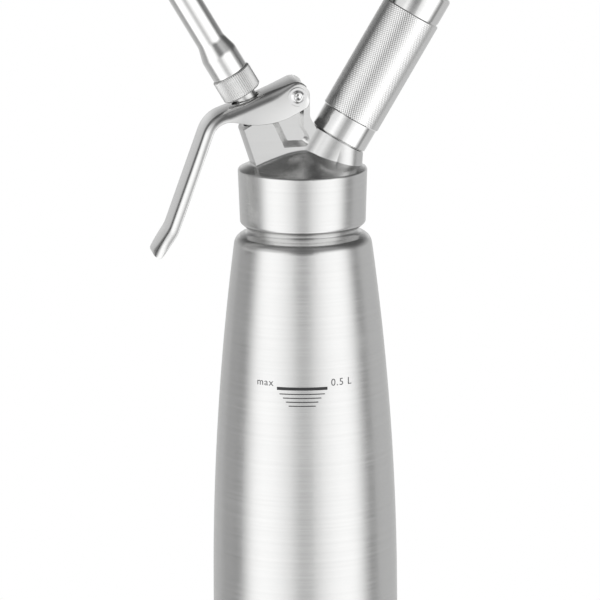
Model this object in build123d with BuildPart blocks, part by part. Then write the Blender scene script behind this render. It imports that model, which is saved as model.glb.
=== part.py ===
from build123d import *

import os
from math import cos, radians, sin, sqrt, tan

os.makedirs("parts", exist_ok=True)

# Clearances shared by mating pieces
running_gap = 0.06
slip_gap = 0.3
thread_gap = 0.3
face_gap = 0.05

# Bottle: a drawn steel flask with a tapering body and a threaded neck
bottle_radius = 40.0
bottle_wall = 1.2
base_corner = 7.0
base_groove_radius = 26.0
base_groove_width = 1.6
base_groove_depth = 0.5
taper_start = 20.0
shoulder_radius = 29.7
shoulder_height = 175.4
shoulder_round_in = 2.5
shoulder_round_up = 3.8
neck_root_rise = 5.4
neck_root_round = 3.0
neck_radius = 23.3
neck_wall = 1.6
neck_length = 19.2
neck_rim_round = 0.6

# Head: collar skirt, conical cap, valve tower with lever post, charger boss
skirt_gap = 1.3
skirt_height = 25.8
collar_radius = 27.8
collar_foot_radius = 27.0
collar_foot_chamfer_height = 2.6
collar_foot_chamfer_width = 3.1
collar_foot_round = 1.6
collar_rim_round = 0.9
cone_slope = 24.5
cone_flat_radius = 6.0
dome_radius = 18.0
dome_flat_radius = 13.0
dome_rise = 3.3
head_gasket_thickness = 2.6
head_gasket_width = 3.6

# Valve axis: tilted towards the lever, given by its crossing below the collar rim
valve_tilt = 30.5
valve_cross_drop = 10.0
tower_top = 38.0
tower_half_width = 8.5
tower_left_reach = 9.4
tower_right_reach = 8.2
tower_end_radius = 25.0
tower_left_lean = 17.9
tower_root_rise = 1.6
tower_foot_round = 1.2

# Charger axis: tilted the other way
charger_tilt = 30.8
charger_cross_drop = 13.5
boss_radius = 12.4
boss_top = 30.3
boss_root = 16.0
boss_flare_drop = 13.0
boss_flare_lean = 0.08
boss_blend_round = 8.0
spigot_radius = 10.0
spigot_length = 7.8

# Lever post and pivot, measured from the bottle axis and the collar rim
pivot_x = -3.4
pivot_rise = 32.9
pivot_radius = 2.5
post_right_reach = 5.6
post_top_reach = 3.8
post_top_round = 3.4
post_waist_rise = 23.6
post_foot_round = 5.0
pocket_depth = 2.9
pocket_lean = 24.8
pocket_side_width = 2.9
pocket_foot_height = 2.6
pocket_edge_width = 1.3
pocket_corner_reach = 5.5
pocket_corner_rise = 10.6
pocket_toe_reach = 2.5
pocket_point_reach = 6.1
pocket_point_rise = 11.0
pocket_mid_reach = 5.0
pocket_mid_rise = 15.5
pocket_bend_reach = 2.9
pocket_bend_rise = 19.1
pocket_top_rise = 28.0

# Lever: a pressed channel with a web, two cheeks and a long handle
lever_wall = 1.8
lever_travel = 9.0
valve_stroke = 3.0
cheek_half_width = 10.7
handle_half_width = 11.5
tip_half_width = 10.8
cheek_end_reach = 5.2
cheek_end_round = 5.4
web_slope = 22.2
web_offset = 6.2
knee_reach = 39.0
knee_round = 15.0
handle_lean = 20.1
handle_length = 50.2
handle_depth = 4.3
flare_lean = 34.2
flare_length = 13.0
flare_round = 14.0
tip_round = 2.0
tip_corner_round = 7.5
inner_knee_round = 8.0
belly_reach = 11.5
belly_drop = 13.6
belly_round = 33.0
cheek_chin_rise = 4.4
cheek_chin_round = 3.5
taper_before_knee = 11.0
taper_past_knee = 3.0
taper_round = 40.0
lever_edge_round = 1.0
web_end_reach = 1.2
slot_slip = 2.0

# Pivot screw and its cap nut
pin_head_radius = 4.1
pin_head_rim = 0.5
pin_dome_radius = 2.9
pin_dome_height = 0.9
pin_dome_flat = 1.9
pin_thread_radius = 1.6
pin_thread_length = 0.8
pin_socket_radius = 1.6
pin_socket_depth = 0.8
pin_socket_point = 0.8

# Dispensing valve, measured along its axis from the crossing point
seat_level = 10.0
seat_hole_radius = 4.7
seat_thickness = 2.0
seat_recess_radius = 7.4
chamber_radius = 5.5
gland_level = 22.0
gland_length = 7.0
gland_radius = 6.9
stem_radius = 4.3
stem_bore_radius = 2.2
stem_waist_radius = 3.2
stem_waist_top = 19.0
stem_shank_radius = 2.4
stem_shank_length = 6.0
stem_bore_floor = 1.2
stem_port_radius = 1.5
stem_port_rise = 3.4
stem_flange_radius = 6.0
stem_flange_thickness = 2.2
stem_thread_radius = 5.0
stem_thread_length = 6.7
o_ring_wire = 0.6
valve_seal_radius = 6.2
valve_seal_thickness = 2.0
valve_nut_radius = 4.8
valve_nut_thickness = 3.0
spring_wire_radius = 0.6
spring_turns = 6
spring_end_gap = 0.15
coil_samples = 48
nozzle_level = 50.4

# Nozzle
nut_radius = 8.65
nut_height = 10.5
nut_chamfer = 0.7
nozzle_gasket_thickness = 1.3
nozzle_spigot_radius = 6.0
barrel_radius = 8.0
barrel_length = 9.4
nozzle_neck_length = 6.4
nozzle_neck_round = 5.0
nozzle_radius = 6.25
nozzle_bore_radius = 4.2
nozzle_tube_length = 26.0
nozzle_tip_length = 7.0
nozzle_tip_radius = 5.0
nozzle_tip_bore_radius = 3.4
nozzle_lip_round = 0.6

# Gas charger and its holder, measured along the charger axis
charger_radius = 9.0
charger_length = 66.0
charger_wall = 1.5
charger_neck_radius = 4.4
charger_neck_length = 9.4
charger_shoulder_length = 6.5
charger_end_round = 7.0
charger_cap_radius = 3.5
charger_cap_thickness = 0.7
pierced_hole_radius = 1.5
charger_seat_gap = 0.3
holder_gap = 0.4
holder_length = 74.8
holder_band_radius = 12.55
holder_band_length = 10.3
holder_grip_radius = 13.05
holder_grip_length = 52.0
holder_groove_radius = 12.1
holder_groove_width = 0.8
holder_cap_radius = 12.4
holder_end_round = 2.0
holder_mouth_chamfer = 0.5
holder_bore_gap = 0.4

# Piercing unit and check valve inside the charger boss
piercing_seal_thickness = 2.0
piercing_seal_bore = 1.7
bush_length = 6.4
bush_vent_radius = 0.6
bush_vent_circle = 3.2
pin_shaft_radius = 1.2
pin_collar_radius = 2.2
pin_collar_length = 1.4
pin_tip_reach = 1.9
pin_point_length = 1.6
filter_thickness = 0.6
gas_channel_radius = 1.4
gas_channel_length = 2.8
check_valve_radius = 3.5
check_valve_length = 3.4
check_valve_lip_length = 2.8
check_valve_lip_radius = 1.7
check_valve_bore_radius = 0.9

# Heights that follow from the sizes above
neck_root = shoulder_height + neck_root_rise
neck_top = neck_root + neck_length
skirt_bottom = neck_root + skirt_gap
rim_level = skirt_bottom + skirt_height
skirt_bore = neck_radius + thread_gap
gasket_ceiling = neck_top + head_gasket_thickness + 2 * face_gap
dome_top = gasket_ceiling + dome_rise
cone_top = rim_level + (collar_radius - cone_flat_radius) * tan(radians(cone_slope))
pivot_z = rim_level + pivot_rise

# Tilted axes with a section plane each: across the axis first, then along it
valve_cos, valve_sin = cos(radians(valve_tilt)), sin(radians(valve_tilt))
valve_origin = (0, 0, rim_level - valve_cross_drop)
valve_section = Plane(origin=valve_origin, x_dir=(valve_cos, 0, valve_sin), z_dir=(0, -1, 0))
valve_axis = Axis(valve_origin, (-valve_sin, 0, valve_cos))
charger_cos, charger_sin = cos(radians(charger_tilt)), sin(radians(charger_tilt))
charger_origin = (0, 0, rim_level - charger_cross_drop)
charger_section = Plane(origin=charger_origin, x_dir=(charger_cos, 0, -charger_sin), z_dir=(0, -1, 0))
charger_axis = Axis(charger_origin, (charger_sin, 0, charger_cos))


def along_valve(across, along):
    """A point of the XZ plane from its place across and along the valve axis."""
    x = valve_cos * across - valve_sin * along
    z = valve_origin[2] + valve_sin * across + valve_cos * along
    return (x, z)


def across_valve(level):
    """The plane square to the valve axis at one level."""
    x, z = along_valve(0, level)
    return Plane(origin=(x, 0, z), x_dir=(valve_cos, 0, valve_sin), z_dir=valve_axis.direction)


def along_charger(across, along):
    """A point of the XZ plane from its place across and along the charger axis."""
    x = charger_cos * across + charger_sin * along
    z = charger_origin[2] - charger_sin * across + charger_cos * along
    return (x, z)


def across_charger(level):
    """The plane square to the charger axis at one level."""
    x, z = along_charger(0, level)
    return Plane(origin=(x, 0, z), x_dir=(charger_cos, 0, -charger_sin), z_dir=charger_axis.direction)


def turn(section, axis, outline, rounds=0.0, mode=Mode.ADD):
    """Turn a closed outline about an axis; rounds are corner radii in the outline's order."""
    with BuildSketch(section) as profile:
        with BuildLine():
            FilletPolyline(*outline, radius=rounds, close=True)
        make_face()
    revolve(profile.sketch, axis=axis, mode=mode)


def slab(outline, half_width, rounds=0.0, mode=Mode.ADD):
    """Extrude a closed outline of the XZ plane to both sides."""
    with BuildSketch(Plane.XZ) as profile:
        with BuildLine():
            FilletPolyline(*outline, radius=rounds, close=True)
        make_face()
    extrude(profile.sketch, amount=half_width, both=True, mode=mode)


def bottle_outline(inset, neck_inset):
    """Draw the flask's half section, moved inwards by the wall for the cavity."""
    corner = (bottle_radius - base_corner, inset)
    side = (bottle_radius - inset, base_corner)
    taper = (bottle_radius - inset, taper_start)
    shoulder = (shoulder_radius - inset, shoulder_height)
    rounding_radius = shoulder_radius - shoulder_round_in - inset / 2
    rounding = (rounding_radius, shoulder_height + shoulder_round_up - inset)
    root = (neck_radius - neck_inset, neck_root - inset)
    rim = (neck_radius - neck_inset, neck_top)
    Line((0, inset), corner)
    TangentArc(corner, side, tangent=(1, 0))
    Line(side, taper)
    long_arc = TangentArc(taper, shoulder, tangent=(0, 1))
    TangentArc(shoulder, rounding, tangent=long_arc % 1)
    FilletPolyline(rounding, root, rim, radius=neck_root_round)
    Polyline(rim, (0, neck_top), (0, inset))


# Bottle
with BuildPart() as bottle:
    with BuildSketch(Plane.XZ):
        with BuildLine():
            bottle_outline(0, 0)
        make_face()
    revolve(axis=Axis.Z)
    with BuildSketch(Plane.XZ):
        with BuildLine():
            bottle_outline(bottle_wall, neck_wall)
        make_face()
    revolve(axis=Axis.Z, mode=Mode.SUBTRACT)
    fillet(bottle.edges().group_by(Axis.Z)[-1], radius=neck_rim_round)
    with BuildSketch(Plane.XY):
        Circle(base_groove_radius + base_groove_width)
        Circle(base_groove_radius, mode=Mode.SUBTRACT)
    extrude(amount=base_groove_depth, mode=Mode.SUBTRACT)
bottle.part.label = "bottle"
export_step(bottle.part, "parts/bottle.step")

# Gasket between the bottle's rim and the head
gasket_outer = skirt_bore - slip_gap
with BuildPart() as head_gasket:
    with BuildSketch(Plane.XY.offset(neck_top + face_gap)):
        Circle(gasket_outer)
        Circle(gasket_outer - head_gasket_width, mode=Mode.SUBTRACT)
    extrude(amount=head_gasket_thickness)
head_gasket.part.label = "head_gasket"
export_step(head_gasket.part, "parts/head_gasket.step")

# Lever lines: the web runs from the pivot to the knee, the handle hangs from the knee
web_along = (-cos(radians(web_slope)), -sin(radians(web_slope)))
web_out = (-sin(radians(web_slope)), cos(radians(web_slope)))
handle_along = (-sin(radians(handle_lean)), -cos(radians(handle_lean)))
handle_in = (cos(radians(handle_lean)), -sin(radians(handle_lean)))
flare_along = (-sin(radians(flare_lean)), -cos(radians(flare_lean)))
flare_in = (cos(radians(flare_lean)), -sin(radians(flare_lean)))


def crossing(first, first_way, second, second_way):
    """The point where two lines of the XZ plane cross."""
    turn_ratio = first_way[0] * second_way[1] - first_way[1] * second_way[0]
    gap_x, gap_z = second[0] - first[0], second[1] - first[1]
    reach = (gap_x * second_way[1] - gap_z * second_way[0]) / turn_ratio
    return (first[0] + reach * first_way[0], first[1] + reach * first_way[1])


def moved(point, way, distance):
    """A point moved along a direction of the XZ plane."""
    return (point[0] + way[0] * distance, point[1] + way[1] * distance)


pivot = (pivot_x, pivot_z)
upright = (0, 1)
web_foot = moved(pivot, web_out, web_offset)
knee = moved(web_foot, web_along, knee_reach)
flare = moved(knee, handle_along, handle_length)
tip = moved(flare, flare_along, flare_length)
tip_inner = moved(tip, flare_in, handle_depth)
handle_inner = moved(knee, handle_in, handle_depth)
flare_inner = crossing(tip_inner, flare_along, handle_inner, handle_along)
cheek_end_x = pivot_x + cheek_end_reach
brow = crossing(web_foot, web_along, (cheek_end_x, pivot_z), upright)
chin = (cheek_end_x, pivot_z - cheek_chin_rise)
belly = (pivot_x - belly_reach, pivot_z - belly_drop)
inner_knee_way = (-cos(radians(web_slope / 2)), sin(radians(web_slope / 2)))
inner_knee = crossing(belly, inner_knee_way, handle_inner, handle_along)
lever_outline = [brow, knee, flare, tip, tip_inner, flare_inner, inner_knee, belly, chin]
lever_rounds = [cheek_end_round, knee_round, flare_round, tip_round, tip_round]
lever_rounds += [flare_round - handle_depth, inner_knee_round, belly_round, cheek_chin_round]

# The channel inside: one wall below the web and behind the handle, open on the bottle's side
web_under = moved(web_foot, web_out, -lever_wall)
handle_under = moved(knee, handle_in, lever_wall)
flare_under = moved(flare, flare_in, lever_wall)
knee_under = crossing(web_under, web_along, handle_under, handle_along)
bend_under = crossing(handle_under, handle_along, flare_under, flare_along)
tip_under = moved(crossing(tip, flare_in, flare_under, flare_along), flare_along, -lever_wall)
web_end_x = pivot_x + web_end_reach
web_end = crossing(web_under, web_along, (web_end_x, 0), upright)
channel_far = pivot_x + web_offset + knee_reach
channel_low = tip_inner[1] - handle_depth
channel_high = brow[1] + web_offset
channel_outline = [
    (web_end_x, channel_high),
    web_end,
    knee_under,
    bend_under,
    tip_under,
    moved(tip_under, flare_in, 2 * handle_depth),
    (channel_far, channel_low),
    (channel_far, channel_high),
]
lever_half_width = max(cheek_half_width, handle_half_width)
channel_rounds = [0, 0, knee_round - lever_wall, flare_round - lever_wall, 0, 0, 0, 0]


def lever_plan(inset, end_x):
    """Draw the lever's outline from above: cheeks, slant to the wider handle, rounded tip."""
    cheek, handle, end = cheek_half_width - inset, handle_half_width - inset, tip_half_width - inset
    near_x, far_x = knee[0] + taper_before_knee, knee[0] - taper_past_knee
    front = [(channel_far, -cheek), (near_x, -cheek), (far_x, -handle), (end_x, -end)]
    back = [(x, -y) for x, y in reversed(front)]
    rounds = [0, taper_round, taper_round, tip_corner_round]
    FilletPolyline(*front, *back, radius=rounds + rounds[::-1], close=True)


# Channel space of the lever, kept apart so that it can be taken out of the pressed shape
plan_end = tip[0] - lever_wall / 2
with BuildPart() as lever_channel:
    slab(channel_outline, lever_half_width, channel_rounds)
    with BuildSketch(Plane.XY.offset(channel_low)):
        with BuildLine():
            lever_plan(lever_wall, plan_end + lever_wall)
        make_face()
    extrude(amount=channel_high - channel_low, mode=Mode.INTERSECT)

# Lever
slot_reach = stem_thread_radius + 2 * slip_gap
with BuildPart() as lever:
    slab(lever_outline, lever_half_width + lever_wall, lever_rounds)
    with BuildSketch(Plane.XY.offset(channel_low - lever_wall)):
        with BuildLine():
            lever_plan(0, plan_end)
        make_face()
    extrude(amount=channel_high - channel_low + 2 * lever_wall, mode=Mode.INTERSECT)
    cheek_edges = lever.faces().filter_by(Axis.Y).edges()
    fillet(cheek_edges.filter_by(Axis.Z, reverse=True), radius=lever_edge_round)
    add(lever_channel.part, mode=Mode.SUBTRACT)
    with BuildSketch(across_valve(tower_top)):
        SlotCenterToCenter(slot_slip, 2 * slot_reach)
    extrude(amount=nozzle_level - tower_top, mode=Mode.SUBTRACT)
    with BuildSketch(Plane.XZ):
        with Locations(pivot):
            Circle(pivot_radius + running_gap)
    extrude(amount=2 * cheek_half_width, both=True, mode=Mode.SUBTRACT)
lever.part.label = "lever"
export_step(lever.part, "parts/lever.step")

# Head outlines
tower_left_top = along_valve(-tower_left_reach, tower_top)
tower_right_top = along_valve(tower_right_reach, tower_top)
tower_root = rim_level + tower_root_rise
lean_run = (tower_left_top[1] - tower_root) * tan(radians(tower_left_lean))
pressed_slope = radians(web_slope + lever_travel)
pressed_along = (-cos(pressed_slope), -sin(pressed_slope))
pressed_out = (-sin(pressed_slope), cos(pressed_slope))
post_slope_foot = moved(pivot, pressed_out, post_top_reach)
post_wall_way = (-valve_sin, valve_cos)
post_step = crossing(post_slope_foot, pressed_along, tower_right_top, post_wall_way)
post_peak = crossing(post_slope_foot, pressed_along, (0, pivot_z + post_top_reach), (1, 0))
post_right_x = pivot_x + post_right_reach
post_waist = rim_level + post_waist_rise
boss_corner = along_charger(-boss_radius, boss_top)
boss_heart_x = along_charger(0, boss_root)[0]
tower_outline = [
    (tower_left_top[0] + lean_run, tower_root),
    tower_left_top,
    tower_right_top,
    post_step,
    post_peak,
    (post_right_x, pivot_z + post_top_reach),
    (post_right_x, post_waist),
    boss_corner,
    (boss_heart_x, tower_root),
]
tower_rounds = [0, 0, 0, 0, 0, post_top_round, post_foot_round, 0, 0]

# Pocket on each flat of the tower: its mouth and its smaller level floor, corner by corner
pocket_corner = (pivot_x - pocket_corner_reach, rim_level + pocket_corner_rise)
pocket_point = (pivot_x + pocket_point_reach, rim_level + pocket_point_rise)
pocket_mid = (pivot_x + pocket_mid_reach, rim_level + pocket_mid_rise)
pocket_bend = (pivot_x + pocket_bend_reach, rim_level + pocket_bend_rise)
pocket_top = (pocket_bend[0], rim_level + pocket_top_rise)
pocket_shift = tan(radians(pocket_lean))
pocket_brow = (pocket_corner[0] - pocket_shift * (pocket_top[1] - pocket_corner[1]), pocket_top[1])
pocket_mouth = [pocket_corner, pocket_point, pocket_mid, pocket_bend, pocket_top, pocket_brow]
foot_level = pocket_corner[1] + pocket_foot_height
pocket_floor = [
    (pocket_corner[0] + pocket_side_width - pocket_shift * pocket_foot_height, foot_level),
    (pivot_x + pocket_toe_reach, foot_level),
    (pocket_mid[0] - pocket_edge_width, pocket_mid[1]),
    (pocket_bend[0] - pocket_edge_width, pocket_bend[1]),
    (pocket_top[0] - pocket_edge_width, pocket_top[1]),
    (pocket_brow[0] + pocket_side_width, pocket_top[1]),
]

# Valve tower with the lever post: a slab between flats, with a leaning round end
lean = radians(tower_left_lean)
end_axis = moved(tower_left_top, (cos(lean), sin(lean)), tower_end_radius)
end_plane = Plane(origin=(end_axis[0], 0, end_axis[1]), x_dir=(0, 1, 0), z_dir=(-sin(lean), 0, cos(lean)))
with BuildPart() as tower:
    slab(tower_outline, tower_half_width, tower_rounds)
    with BuildSketch(end_plane):
        Circle(tower_end_radius)
    extrude(amount=3 * tower_end_radius, both=True, mode=Mode.INTERSECT)

# Pocket's space, from its mouth in the flat down to its floor
with BuildPart() as pocket:
    with BuildSketch(Plane.XZ.offset(tower_half_width)):
        with BuildLine():
            Polyline(*pocket_mouth, close=True)
        make_face()
    with BuildSketch(Plane.XZ.offset(tower_half_width - pocket_depth)):
        with BuildLine():
            Polyline(*pocket_floor, close=True)
        make_face()
    loft(ruled=True)

# Hollow blend between the tower's flats and the boss, seen along the charger axis
blend_reach = boss_radius + boss_blend_round
blend_x = -sqrt(blend_reach**2 - (tower_half_width + boss_blend_round) ** 2)
blend_share = boss_radius / blend_reach
flat_touch = (blend_x, -tower_half_width)
boss_touch = (blend_x * blend_share, -(tower_half_width + boss_blend_round) * blend_share)
flat_touch_back = (flat_touch[0], -flat_touch[1])
boss_touch_back = (boss_touch[0], -boss_touch[1])

# Levels along the charger axis, from the mouth of the spigot down to the gas channel
spigot_top = boss_top + spigot_length
charger_foot = spigot_top + 2 * slip_gap - charger_neck_length
piercing_seal_bottom = charger_foot - charger_seat_gap - piercing_seal_thickness
bush_top = piercing_seal_bottom - face_gap
bush_bottom = bush_top - bush_length
filter_bottom = bush_bottom - face_gap - filter_thickness
bore_floor = filter_bottom - face_gap
check_valve_top = bore_floor - gas_channel_length
neck_bore = charger_neck_radius + slip_gap
check_valve_bore = check_valve_radius + running_gap

# Head casting
with BuildPart() as head_body:
    turn(
        Plane.XZ,
        Axis.Z,
        [
            (0, skirt_bottom),
            (collar_foot_radius - collar_foot_chamfer_width, skirt_bottom),
            (collar_foot_radius, skirt_bottom + collar_foot_chamfer_height),
            (collar_radius, rim_level),
            (cone_flat_radius, cone_top),
            (0, cone_top),
        ],
        [0, 0, collar_foot_round, collar_rim_round, 0, 0],
    )
    add(tower.part)
    fillet(head_body.edges(Select.NEW), radius=tower_foot_round)
    with BuildSketch(across_charger(boss_root)):
        Circle(boss_radius)
        with BuildLine():
            TangentArc(flat_touch, boss_touch, tangent=(1, 0))
            Line(boss_touch, boss_touch_back)
            TangentArc(flat_touch_back, boss_touch_back, tangent=(1, 0))
            Line(flat_touch_back, flat_touch)
        make_face()
    extrude(amount=boss_top - boss_root)
    with BuildSketch(across_charger(boss_top)):
        Circle(boss_radius)
    extrude(amount=boss_flare_drop, dir=(-boss_flare_lean, 0, -1))
    with BuildSketch(across_charger(boss_top)):
        Circle(spigot_radius)
    extrude(amount=spigot_length)
    turn(
        Plane.XZ,
        Axis.Z,
        [
            (0, skirt_bottom - skirt_gap),
            (skirt_bore, skirt_bottom - skirt_gap),
            (skirt_bore, gasket_ceiling),
            (dome_radius, gasket_ceiling),
            (dome_flat_radius, dome_top),
            (0, dome_top),
        ],
        mode=Mode.SUBTRACT,
    )
    turn(
        valve_section,
        valve_axis,
        [
            (0, -seat_level),
            (seat_recess_radius, -seat_level),
            (seat_recess_radius, seat_level),
            (seat_hole_radius, seat_level),
            (seat_hole_radius, seat_level + seat_thickness),
            (chamber_radius, seat_level + seat_thickness),
            (chamber_radius, gland_level),
            (gland_radius, gland_level),
            (gland_radius, nozzle_level),
            (0, nozzle_level),
        ],
        mode=Mode.SUBTRACT,
    )
    turn(
        charger_section,
        charger_axis,
        [
            (0, 0),
            (check_valve_bore, 0),
            (check_valve_bore, check_valve_top),
            (gas_channel_radius, check_valve_top),
            (gas_channel_radius, bore_floor),
            (neck_bore, bore_floor),
            (neck_bore, spigot_top + slip_gap),
            (0, spigot_top + slip_gap),
        ],
        mode=Mode.SUBTRACT,
    )
    with BuildSketch(Plane.XZ):
        with Locations(pivot):
            Circle(pivot_radius + running_gap)
    extrude(amount=2 * tower_half_width, both=True, mode=Mode.SUBTRACT)
    add(pocket.part, mode=Mode.SUBTRACT)
    add(mirror(pocket.part, about=Plane.XZ, mode=Mode.PRIVATE), mode=Mode.SUBTRACT)
head_body.part.label = "head_body"
export_step(head_body.part, "parts/head_body.step")

# Pivot screw through cheeks and post, with a cap nut on the far side
pivot_section = Plane(origin=(pivot_x, 0, pivot_z), x_dir=(1, 0, 0), z_dir=(0, 0, 1))
pivot_axis = Axis((pivot_x, 0, pivot_z), (0, 1, 0))
cap_seat = cheek_half_width + 2 * face_gap
cap_rim = cap_seat + pin_head_rim
cap_top = cap_rim + pin_dome_height


def screw_cap(side, inner_radius, inner_end):
    """Outline of a domed screw cap on one side of the lever, joined to its shank."""
    return [
        (0, side * cap_top),
        (pin_dome_flat, side * cap_top),
        (pin_dome_radius, side * cap_rim),
        (pin_head_radius, side * cap_rim),
        (pin_head_radius, side * cap_seat),
        (inner_radius, side * cap_seat),
        (inner_radius, inner_end),
    ]


def drive_socket(side):
    """Cut the hexagon socket with its drill point into the top of a screw cap."""
    with BuildSketch(Plane.XZ.offset(-side * cap_top)) as socket:
        with Locations(pivot):
            RegularPolygon(radius=pin_socket_radius, side_count=6)
    extrude(socket.sketch, amount=side * pin_socket_depth, mode=Mode.SUBTRACT)
    floor = side * (cap_top - pin_socket_depth)
    tip = floor - side * pin_socket_point
    point = [(0, floor), (pin_socket_radius * cos(radians(30)), floor), (0, tip)]
    turn(pivot_section, pivot_axis, point, mode=Mode.SUBTRACT)


cap_rounds = [0, pin_dome_height, 0, pin_head_rim / 2, 0]
with BuildPart() as pivot_screw:
    shank = [(pin_thread_radius, cap_seat), (pin_thread_radius, cap_seat + pin_thread_length)]
    shank += [(0, cap_seat + pin_thread_length)]
    turn(pivot_section, pivot_axis, screw_cap(-1, pivot_radius, cap_seat) + shank, cap_rounds + [0] * 5)
    drive_socket(-1)
pivot_screw.part.label = "pivot_screw"
export_step(pivot_screw.part, "parts/pivot_screw.step")

with BuildPart() as pivot_nut:
    bore_end = cap_seat + pin_thread_length + face_gap
    cap = screw_cap(1, pin_thread_radius + running_gap, bore_end)
    turn(pivot_section, pivot_axis, cap + [(0, bore_end)], cap_rounds + [0] * 3)
pivot_nut.part.label = "pivot_nut"
export_step(pivot_nut.part, "parts/pivot_nut.step")


def valve_level(point):
    """How far along the valve axis a point of the XZ plane lies."""
    return -valve_sin * point[0] + valve_cos * (point[1] - valve_origin[2])


# Dispensing valve: levels along its axis
web_contact = crossing(web_under, web_along, along_valve(stem_flange_radius, 0), post_wall_way)
flange_top = valve_level(web_contact) - slip_gap
flange_bottom = flange_top - stem_flange_thickness
gland_bottom = gland_level + face_gap
gland_top = gland_bottom + gland_length
valve_seal_top = seat_level - face_gap
valve_seal_bottom = valve_seal_top - valve_seal_thickness
valve_nut_top = valve_seal_bottom - face_gap
stem_top = nozzle_level + stem_thread_length
o_ring_radius = stem_radius + running_gap / 3 - o_ring_wire
o_ring_levels = (gland_bottom + valve_stroke + o_ring_wire, gland_top - o_ring_wire - running_gap)

with BuildPart() as valve_stem:
    turn(
        valve_section,
        valve_axis,
        [
            (0, valve_seal_top - stem_shank_length),
            (stem_shank_radius, valve_seal_top - stem_shank_length),
            (stem_shank_radius, valve_seal_top),
            (stem_waist_radius, valve_seal_top),
            (stem_waist_radius, stem_waist_top),
            (stem_radius, stem_waist_top),
            (stem_radius, flange_bottom),
            (stem_flange_radius, flange_bottom),
            (stem_flange_radius, flange_top),
            (stem_thread_radius, flange_top),
            (stem_thread_radius, stem_top),
            (stem_bore_radius, stem_top),
            (stem_bore_radius, valve_seal_top + stem_bore_floor),
            (0, valve_seal_top + stem_bore_floor),
        ],
    )
    for level in o_ring_levels:
        with BuildSketch(across_valve(level - o_ring_wire - running_gap)):
            Circle(stem_radius + slip_gap)
            Circle(o_ring_radius - o_ring_wire - running_gap / 2, mode=Mode.SUBTRACT)
        extrude(amount=2 * (o_ring_wire + running_gap), mode=Mode.SUBTRACT)
    port_x, port_z = along_valve(0, valve_seal_top + stem_port_rise)
    port_ways = ((0, 1, 0), (valve_cos, 0, valve_sin))
    for way in port_ways:
        with BuildSketch(Plane(origin=(port_x, 0, port_z), z_dir=way)):
            Circle(stem_port_radius)
        extrude(amount=stem_radius, both=True, mode=Mode.SUBTRACT)
valve_stem.part.label = "valve_stem"
export_step(valve_stem.part, "parts/valve_stem.step")

with BuildPart() as stem_o_rings:
    for level in o_ring_levels:
        with BuildSketch(valve_section):
            with Locations((o_ring_radius, level)):
                Circle(o_ring_wire)
        revolve(axis=valve_axis)
stem_o_rings.part.label = "stem_o_rings"
export_step(stem_o_rings.part, "parts/stem_o_rings.step")

with BuildPart() as valve_gland:
    with BuildSketch(across_valve(gland_bottom)):
        Circle(gland_radius - running_gap)
        Circle(stem_radius + running_gap, mode=Mode.SUBTRACT)
    extrude(amount=gland_length)
valve_gland.part.label = "valve_gland"
export_step(valve_gland.part, "parts/valve_gland.step")

with BuildPart() as valve_seal:
    with BuildSketch(across_valve(valve_seal_bottom)):
        Circle(valve_seal_radius)
        Circle(stem_shank_radius + running_gap, mode=Mode.SUBTRACT)
    extrude(amount=valve_seal_thickness)
valve_seal.part.label = "valve_seal"
export_step(valve_seal.part, "parts/valve_seal.step")

with BuildPart() as valve_nut:
    with BuildSketch(across_valve(valve_nut_top - valve_nut_thickness)):
        RegularPolygon(radius=valve_nut_radius, side_count=6)
        Circle(stem_shank_radius + running_gap, mode=Mode.SUBTRACT)
    extrude(amount=valve_nut_thickness)
valve_nut.part.label = "valve_nut"
export_step(valve_nut.part, "parts/valve_nut.step")

# Return spring around the stem, one round wire from the gland to the flange
spring_radius = stem_radius + slip_gap + spring_wire_radius
spring_low = gland_top + spring_wire_radius + spring_end_gap
spring_high = flange_bottom - spring_wire_radius - spring_end_gap
spring_pitch = (spring_high - spring_low) / spring_turns
coil_lead = 2 * spring_wire_radius
valve_across = Vector(valve_cos, 0, valve_sin)
valve_side = Vector(0, 1, 0)
valve_up = Vector(-valve_sin, 0, valve_cos)


def coil_point(turns):
    """A point of the wire's centre line."""
    angle = radians(360 * turns)
    centre = Vector(*valve_origin) + valve_up * (spring_low + spring_pitch * turns)
    return centre + valve_across * (spring_radius * cos(angle)) + valve_side * (spring_radius * sin(angle))


def coil_way(turns):
    """The wire's direction there."""
    angle = radians(360 * turns)
    round_way = valve_side * cos(angle) - valve_across * sin(angle)
    return (round_way * spring_radius + valve_up * (spring_pitch / radians(360))).normalized()


def coil_joint(start, start_way, end, end_way):
    """Where the two arcs of a quarter turn meet, so that the wire has no kink."""
    span = end - start
    ways = start_way + end_way
    a = ways.dot(ways) - 4
    b = -2 * span.dot(ways)
    c = span.dot(span)
    reach = (-b - (b * b - 4 * a * c) ** 0.5) / (2 * a)
    if reach < 0:
        reach = (-b + (b * b - 4 * a * c) ** 0.5) / (2 * a)
    return (start + start_way * reach + end - end_way * reach) * 0.5


coil_marks = [step / 4 for step in range(4 * spring_turns + 1)]
with BuildPart() as valve_spring:
    with BuildLine() as coil:
        Line(coil_point(0) - coil_way(0) * coil_lead, coil_point(0))
        for mark, next_mark in zip(coil_marks, coil_marks[1:]):
            start, end = coil_point(mark), coil_point(next_mark)
            joint = coil_joint(start, coil_way(mark), end, coil_way(next_mark))
            first = TangentArc(start, joint, tangent=coil_way(mark))
            TangentArc(joint, end, tangent=first % 1)
        Line(end, end + coil_way(spring_turns) * coil_lead)
    with BuildSketch(Plane(origin=coil.line @ 0, z_dir=coil.line % 0)):
        Circle(spring_wire_radius)
    sweep()
valve_spring.part.label = "valve_spring"
export_step(valve_spring.part, "parts/valve_spring.step")

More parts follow.
